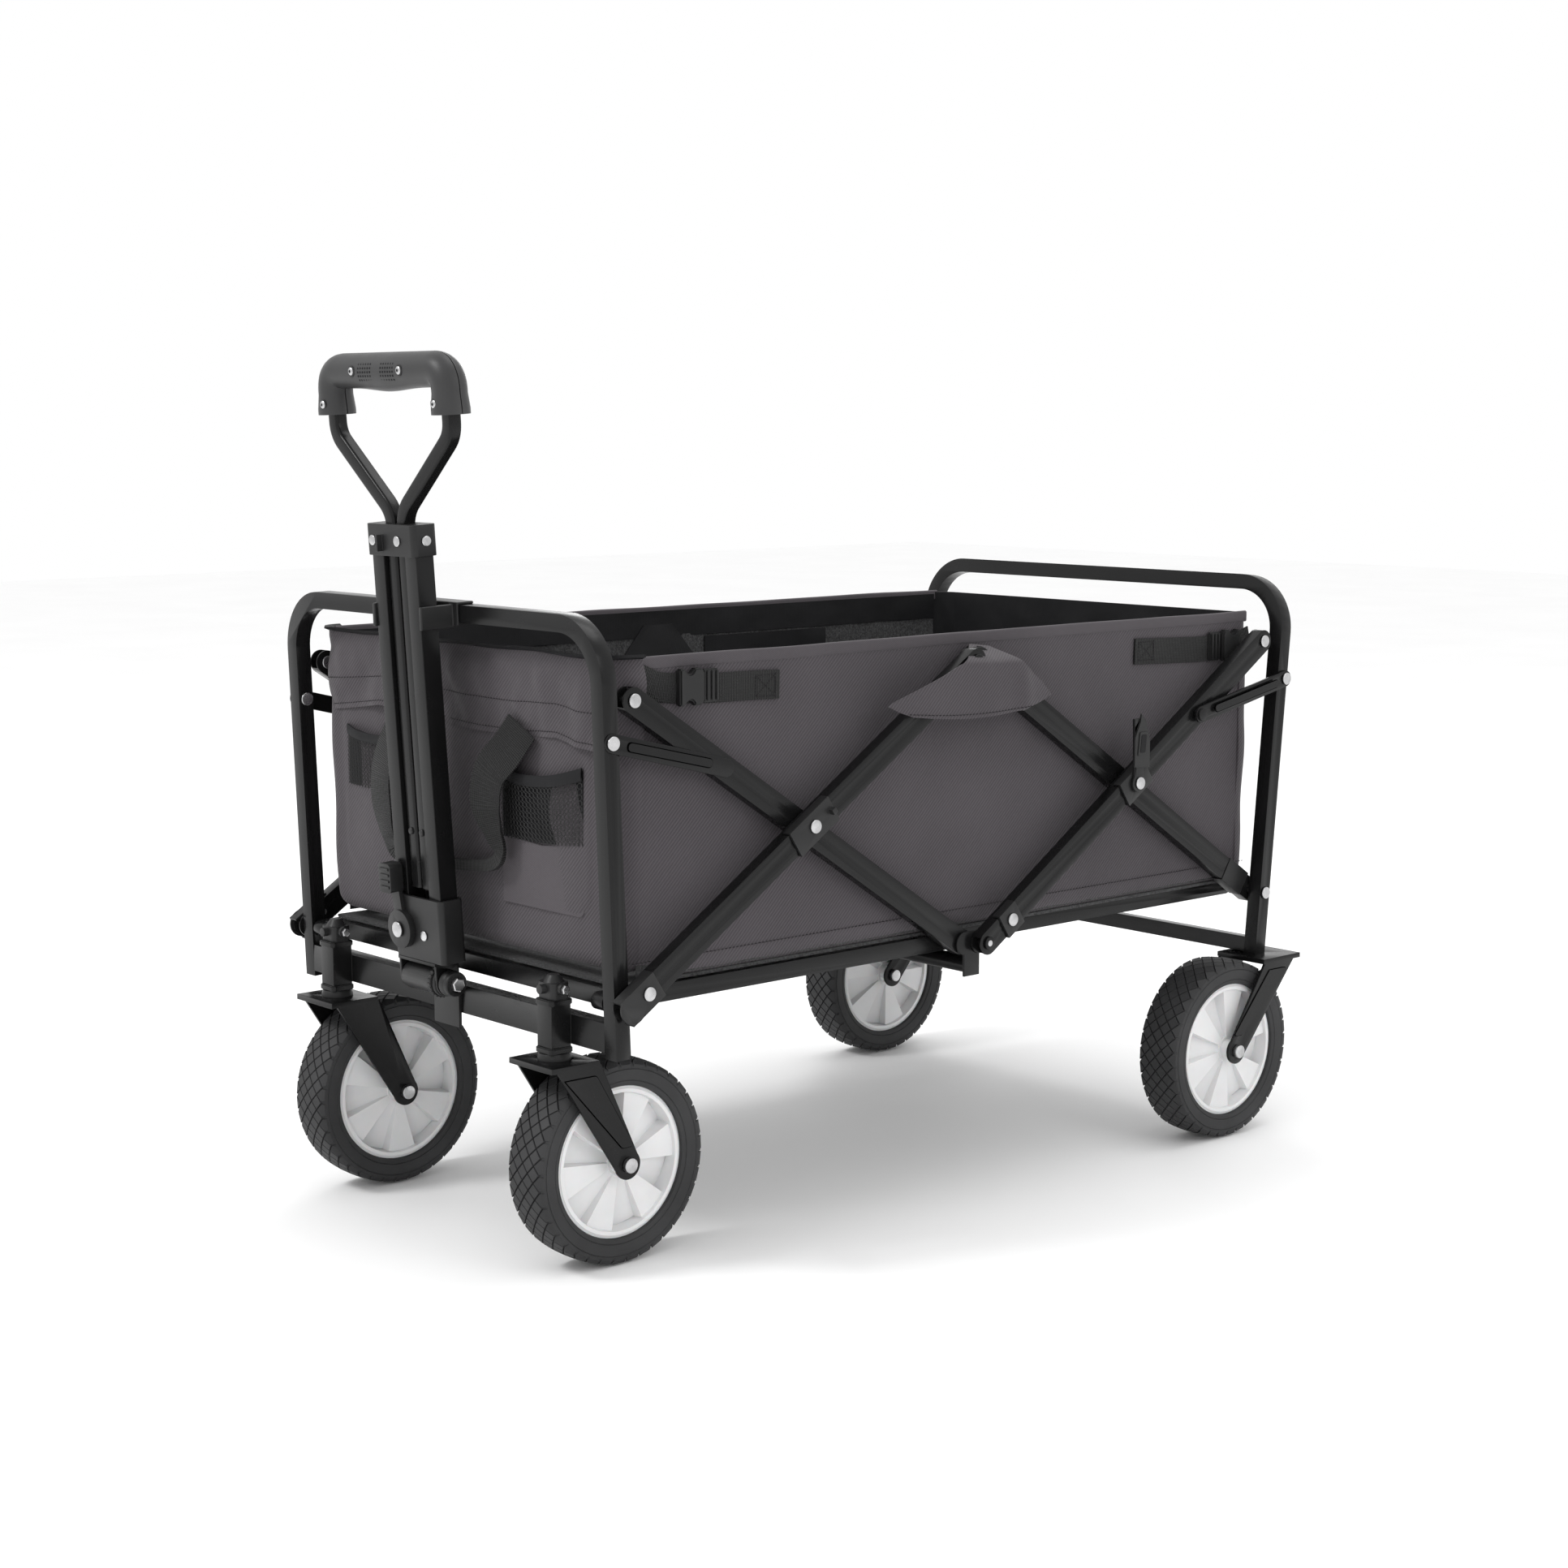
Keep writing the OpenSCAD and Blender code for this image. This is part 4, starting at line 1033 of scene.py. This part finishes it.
def grip_path():
    corners = [(-GRIP_HALF, 491), (-GRIP_HALF, GRIP_S), (GRIP_HALF, GRIP_S), (GRIP_HALF, 491)]
    path = fillet([on_handle(x, s) for x, s in corners], GRIP_CORNER * MM, 16)
    middle = [path[17].lerp(path[18], t) for t in np.linspace(0, 1, 30)]
    return path[:1] + [path[0].lerp(path[1], t) for t in (0.25, 0.9)] + path[1:17] + middle + path[19:-1] \
        + [path[-1].lerp(path[-2], t) for t in (0.9, 0.25)] + path[-1:]


def build_grip():
    path = grip_path()
    scales = []
    for i, p in enumerate(path):
        x = (p.x - PIVOT.x) / MM
        lip = 1.09 if i < 2 or i > len(path) - 3 else 1.0
        swell = 0.10 * exp(-(x / 30) ** 2) if 2 < i < len(path) - 3 else 0
        scales.append((lip, lip + swell))
        p -= UP * (swell * GRIP_R * MM)
    for sign, name in ((1, "front"), (-1, "back")):
        arc = [(sign * (GRIP_R * cos(t)) * MM, GRIP_R * sin(t) * MM) for t in np.linspace(-1.54, 1.54, 15)]
        half = sweep("grip_half_" + name, path, arc, GRIP, "grip", "grip_plastic", AHEAD, scales, 60)
        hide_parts("grip_" + name)


def build_grip_screws():
    places = [(-36, 0), (36, 0), (-84, -28), (84, -28)]
    for k, (x, s) in enumerate(places):
        at = on_handle(x, GRIP_S + s, GRIP_R - 0.6)
        # painted shade: a darker disc round each screw stands for the shade in its recess
        lathe("grip_recess_%d" % k, [(0, 4.8), (0.75, 4.8), (0.9, 4.4)], at, AHEAD, PLASTIC, "grip",
              "black_plastic")
        head = lathe("grip_screw_%d" % k, [(0, 3.4), (1.3, 3.4), (1.9, 2.8), (2.2, 1.4)], at, AHEAD, ZINC,
                     "grip", "zinc")
        if k == 0:
            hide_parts("grip_screws")
        # painted shade: a dark disc on the screw head stands for the shaded socket
        lathe("grip_socket_%d" % k, [(1.4, 1.4), (2.35, 1.4)], at, AHEAD, LINING, "grip", "black_plastic",
              6)


def build_grip_dots():
    """Two fields of small dark dots between the upper screws."""
    verts, faces = [], []
    for side in (1, -1):
        for column in range(6):
            for row in range(5):
                x, b = side * (8 + 3.6 * column), (row - 2) * 3.4
                centre = on_handle(x, GRIP_S - 1 + b, sqrt(GRIP_R ** 2 - b ** 2) + 0.25)
                out = (AHEAD * sqrt(GRIP_R ** 2 - b ** 2) + UP * b).normalized()
                across = out.cross(ACROSS)
                base = len(verts)
                for lift, r in ((-0.8, 0.95), (0, 0.95), (0.12, 0.6)):
                    for t in np.linspace(0, 2 * pi, 8, endpoint=False):
                        way = ACROSS * cos(t) + across * sin(t)
                        verts.append(centre + way * r * MM + out * lift * MM)
                faces += [tuple(base + q for q in f) for f in quads(3, 8, wrap_v=True)]
                faces.append(tuple(range(base + 16, base + 24)))
    mesh_piece("grip_dots", verts, faces, LINING, "grip", "black_plastic")


def build_handle_base():
    lathe("toothed_washer", [(0, 10), (0, 14.8), (3.2, 14.8), (3.9, 13.6)], on_handle(12.2, 0), ACROSS,
          PLASTIC, "handle", "black_plastic", 96, 1.2)
    lathe("bolt_dome", [(0, 11.6), (5, 11.4), (9, 9.8), (11, 7)], on_handle(25, 0), ACROSS, PLASTIC,
          "handle", "black_plastic")
    lathe("bolt_hex", [(0, 6.4), (3.2, 6.4), (4, 5.4)], on_handle(35.8, 0), ACROSS, ZINC, "handle",
          "zinc", 6)
    for k in range(4):
        rib = [(x, s + (83 + 5.4 * k) * MM) for x, s in rounded(14 * MM, 2.6 * MM, 1.2 * MM, 3)]
        slab("lever_rib_%d" % k, rib, lambda a, b, c: on_handle(a / MM - 26, b / MM, 25.4 + c / MM),
             1.3 * MM, PLASTIC, "lock", "black_plastic", 0.4 * MM)


build_bars()
build_grip()
build_grip_screws()
build_grip_dots()
build_handle_base()


# ---- Forks and sleeves ----
def leg_panel(name, x, top_y, top_z, axle, body):
    """Raised tapered panel on the outside of a fork leg."""
    centre_y, centre_z = axle
    outline = [(top_y - 17 * MM, top_z), (top_y + 17 * MM, top_z), (centre_y + 7 * MM, centre_z + 15 * MM),
               (centre_y - 7 * MM, centre_z + 15 * MM)]
    ring = [(p.x, p.y) for p in fillet([(*q, 0) for q in outline + outline[:1]], 5 * MM, 4)][:-1]
    out = 1 if x > 0 else -1
    slab(name, ring, lambda a, b, c: (x + out * c, a, b), 1.4 * MM, STEEL, body, "black_steel", 0.7 * MM)


def build_fork_details():
    for side, name in ((1, "right"), (-1, "left")):
        swivel = Vector(joint["swivel_" + name]["pos_m"])
        axle = Vector(joint["roll_front_" + name]["pos_m"])
        rear = Vector(joint["roll_rear_" + name]["pos_m"])
        lo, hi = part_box("caster_fork_" + name)
        leg_panel("fork_panel_front_" + name, hi.x - 0.4 * MM if side > 0 else lo.x + 0.4 * MM,
                  swivel.y + 4 * MM, 172 * MM, (axle.y, axle.z), "caster_" + name)
        leg_panel("fork_panel_rear_" + name, side * (abs(rear.x) + 29.6 * MM), REAR.y - 2 * MM, 165 * MM,
                  (rear.y, rear.z), "rear_end")
        at = Vector((swivel.x, swivel.y, 0))
        for k, z in enumerate((190, 231)):
            ring = rounded(24 * MM, 24 * MM, 4 * MM, 4)
            slab("sleeve_band_%s_%d" % (name, k), ring,
                 lambda a, b, c, z=z: (at.x + a, at.y + b, z * MM + c), 5 * MM, STEEL, "front_end",
                 "black_steel", 0.8 * MM)
        lathe("king_bush_" + name, [(184.1, 14.4), (187, 14.4), (189.9, 13)], at, (0, 0, 1), PLASTIC,
              "caster_" + name, "black_plastic")
        boss = Vector((swivel.x + 15 * MM, swivel.y, 245 * MM))
        lathe("cap_screw_" + name, [(0, 4), (2.4, 4), (3, 3.2)], boss, ACROSS, ZINC, "front_end", "zinc", 6)


# ---- Links, latch and lower centre ----
def bead(name, start, end, x, body):
    """Raised oval rib pressed into a stamped link, from one (y, z) point towards another."""
    start, end = Vector((0, *start)), Vector((0, *end))
    way = (end - start).normalized()
    across = Vector((0, -way.z, way.y))
    length = (end - start).length - 30 * MM
    middle = (start + end) / 2
    out = 1 if x > 0 else -1

    def place(a, b, c):
        p = middle + way * a + across * b
        return x + out * c, p.y, p.z
    slab(name, rounded(length, 8.5 * MM, 4.1 * MM, 6), place, 1.6 * MM, STEEL, body, "black_steel",
         1.1 * MM)


def build_link_beads():
    for end, pin, way in (("front", "front_link_pin", 1), ("rear", "rear_link_pin", -1)):
        at = joint[pin]["pos_m"]
        lo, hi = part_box(end + "_links")
        far_y = hi.y - 9.5 * MM if way > 0 else lo.y + 9.5 * MM
        for side, name in ((1, "right"), (-1, "left")):
            bead("%s_link_bead_%s" % (end, name), (at[1], at[2]), (far_y, lo.z + 9.5 * MM),
                 side * (hi.x - 0.2 * MM), end + "_link")


def build_latch_face():
    """Face of the latch tab; the window that its hook goes into is a dark plate of painted shade, not an
    opening.
    """
    pivot = Vector(joint["latch"]["pos_m"])
    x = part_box("latch_tab")[1].x
    outline = [(-10, 16), (13, 14), (13, 40), (7, 60), (-1, 68), (-2, 60), (-10, 44)]
    slab("latch_face", [(a * MM, b * MM) for a, b in outline],
         lambda a, b, c: (x - 0.3 * MM + c, pivot.y + a, pivot.z + b), 1.9 * MM, PLASTIC, "latch",
         "black_plastic", 0.8 * MM)
    # the rim is plastic; the window is painted shade, a dark plate where the opening is
    for name, wide, tall, lift, paint in (("rim", 13, 23, 2.4, PLASTIC), ("window", 8, 18, 2.7, LINING)):
        slab("latch_" + name, rounded(wide * MM, tall * MM, 1.8 * MM, 3),
             lambda a, b, c: (x + c, pivot.y + 2 * MM + a + 0.12 * b, pivot.z + 38 * MM + b), lift * MM,
             paint, "latch", "black_plastic", 0.4 * MM)


def build_centre_rivets():
    at = Vector(joint["centre_rear_pin"]["pos_m"])
    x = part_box("rear_outer_arms")[1].x
    for side, name in ((1, "right"), (-1, "left")):
        head = [(-1, 5.2), (1.2, 5.0), (2.1, 4.0), (2.6, 2.0)]
        lathe("centre_rivet_" + name, head, Vector((side * x, at.y, at.z)), (side, 0, 0), ZINC,
              "rear_outer_arm", "zinc")


build_fork_details()
build_link_beads()
build_latch_face()
build_centre_rivets()


# ---- Camera and light ----
LENS, AZIMUTH, PITCH = 62.1, 48.36, 7.8
CAMERA_AT = Vector((1.94284, MID_Y - 1.74543, 0.71761))
a, e = radians(AZIMUTH), radians(PITCH)
look = Vector((-sin(a) * cos(e), cos(a) * cos(e), -sin(e)))
camera = bpy.data.objects.new("camera", bpy.data.cameras.new("camera"))
camera.data.lens = LENS
camera.data.sensor_width = 36
camera.location = CAMERA_AT
camera.rotation_euler = look.to_track_quat("-Z", "Y").to_euler()
bpy.context.scene.collection.objects.link(camera)
bpy.context.scene.camera = camera


def area_light(name, at, size, power, target=(0, 0, 0.35)):
    light = bpy.data.objects.new(name, bpy.data.lights.new(name, "AREA"))
    light.data.size = size
    light.data.energy = power
    light.location = at
    light.rotation_euler = (Vector(target) - Vector(at)).to_track_quat("-Z", "Y").to_euler()
    bpy.context.scene.collection.objects.link(light)


area_light("key", (-0.9, -2.6, 2.9), 0.7, 48)
area_light("side", (3.0, 0.2, 1.9), 1.2, 10)
area_light("top", (0.2, 0.6, 3.0), 1.6, 18)
area_light("rim", (-2.4, 2.2, 1.6), 1.2, 12)
world = bpy.data.worlds.new("studio")
world.use_nodes = True
world.node_tree.nodes["Background"].inputs["Color"].default_value = (1, 1, 1, 1)
world.node_tree.nodes["Background"].inputs["Strength"].default_value = 1.0
bpy.context.scene.world = world
bpy.context.scene.view_settings.view_transform = "Standard"

floor_paint = Paint("studio_floor", (0.97, 0.97, 0.97), 0.9)
floor_paint.shade(floor_paint.noise(3), 0.985, 1.01)
floor = mesh_piece("studio_floor", [(-9, -9, 0), (9, -9, 0), (9, 9, 0), (-9, 9, 0)], [(0, 1, 2, 3)],
                   floor_paint.mat)
floor.location.z = -0.0005
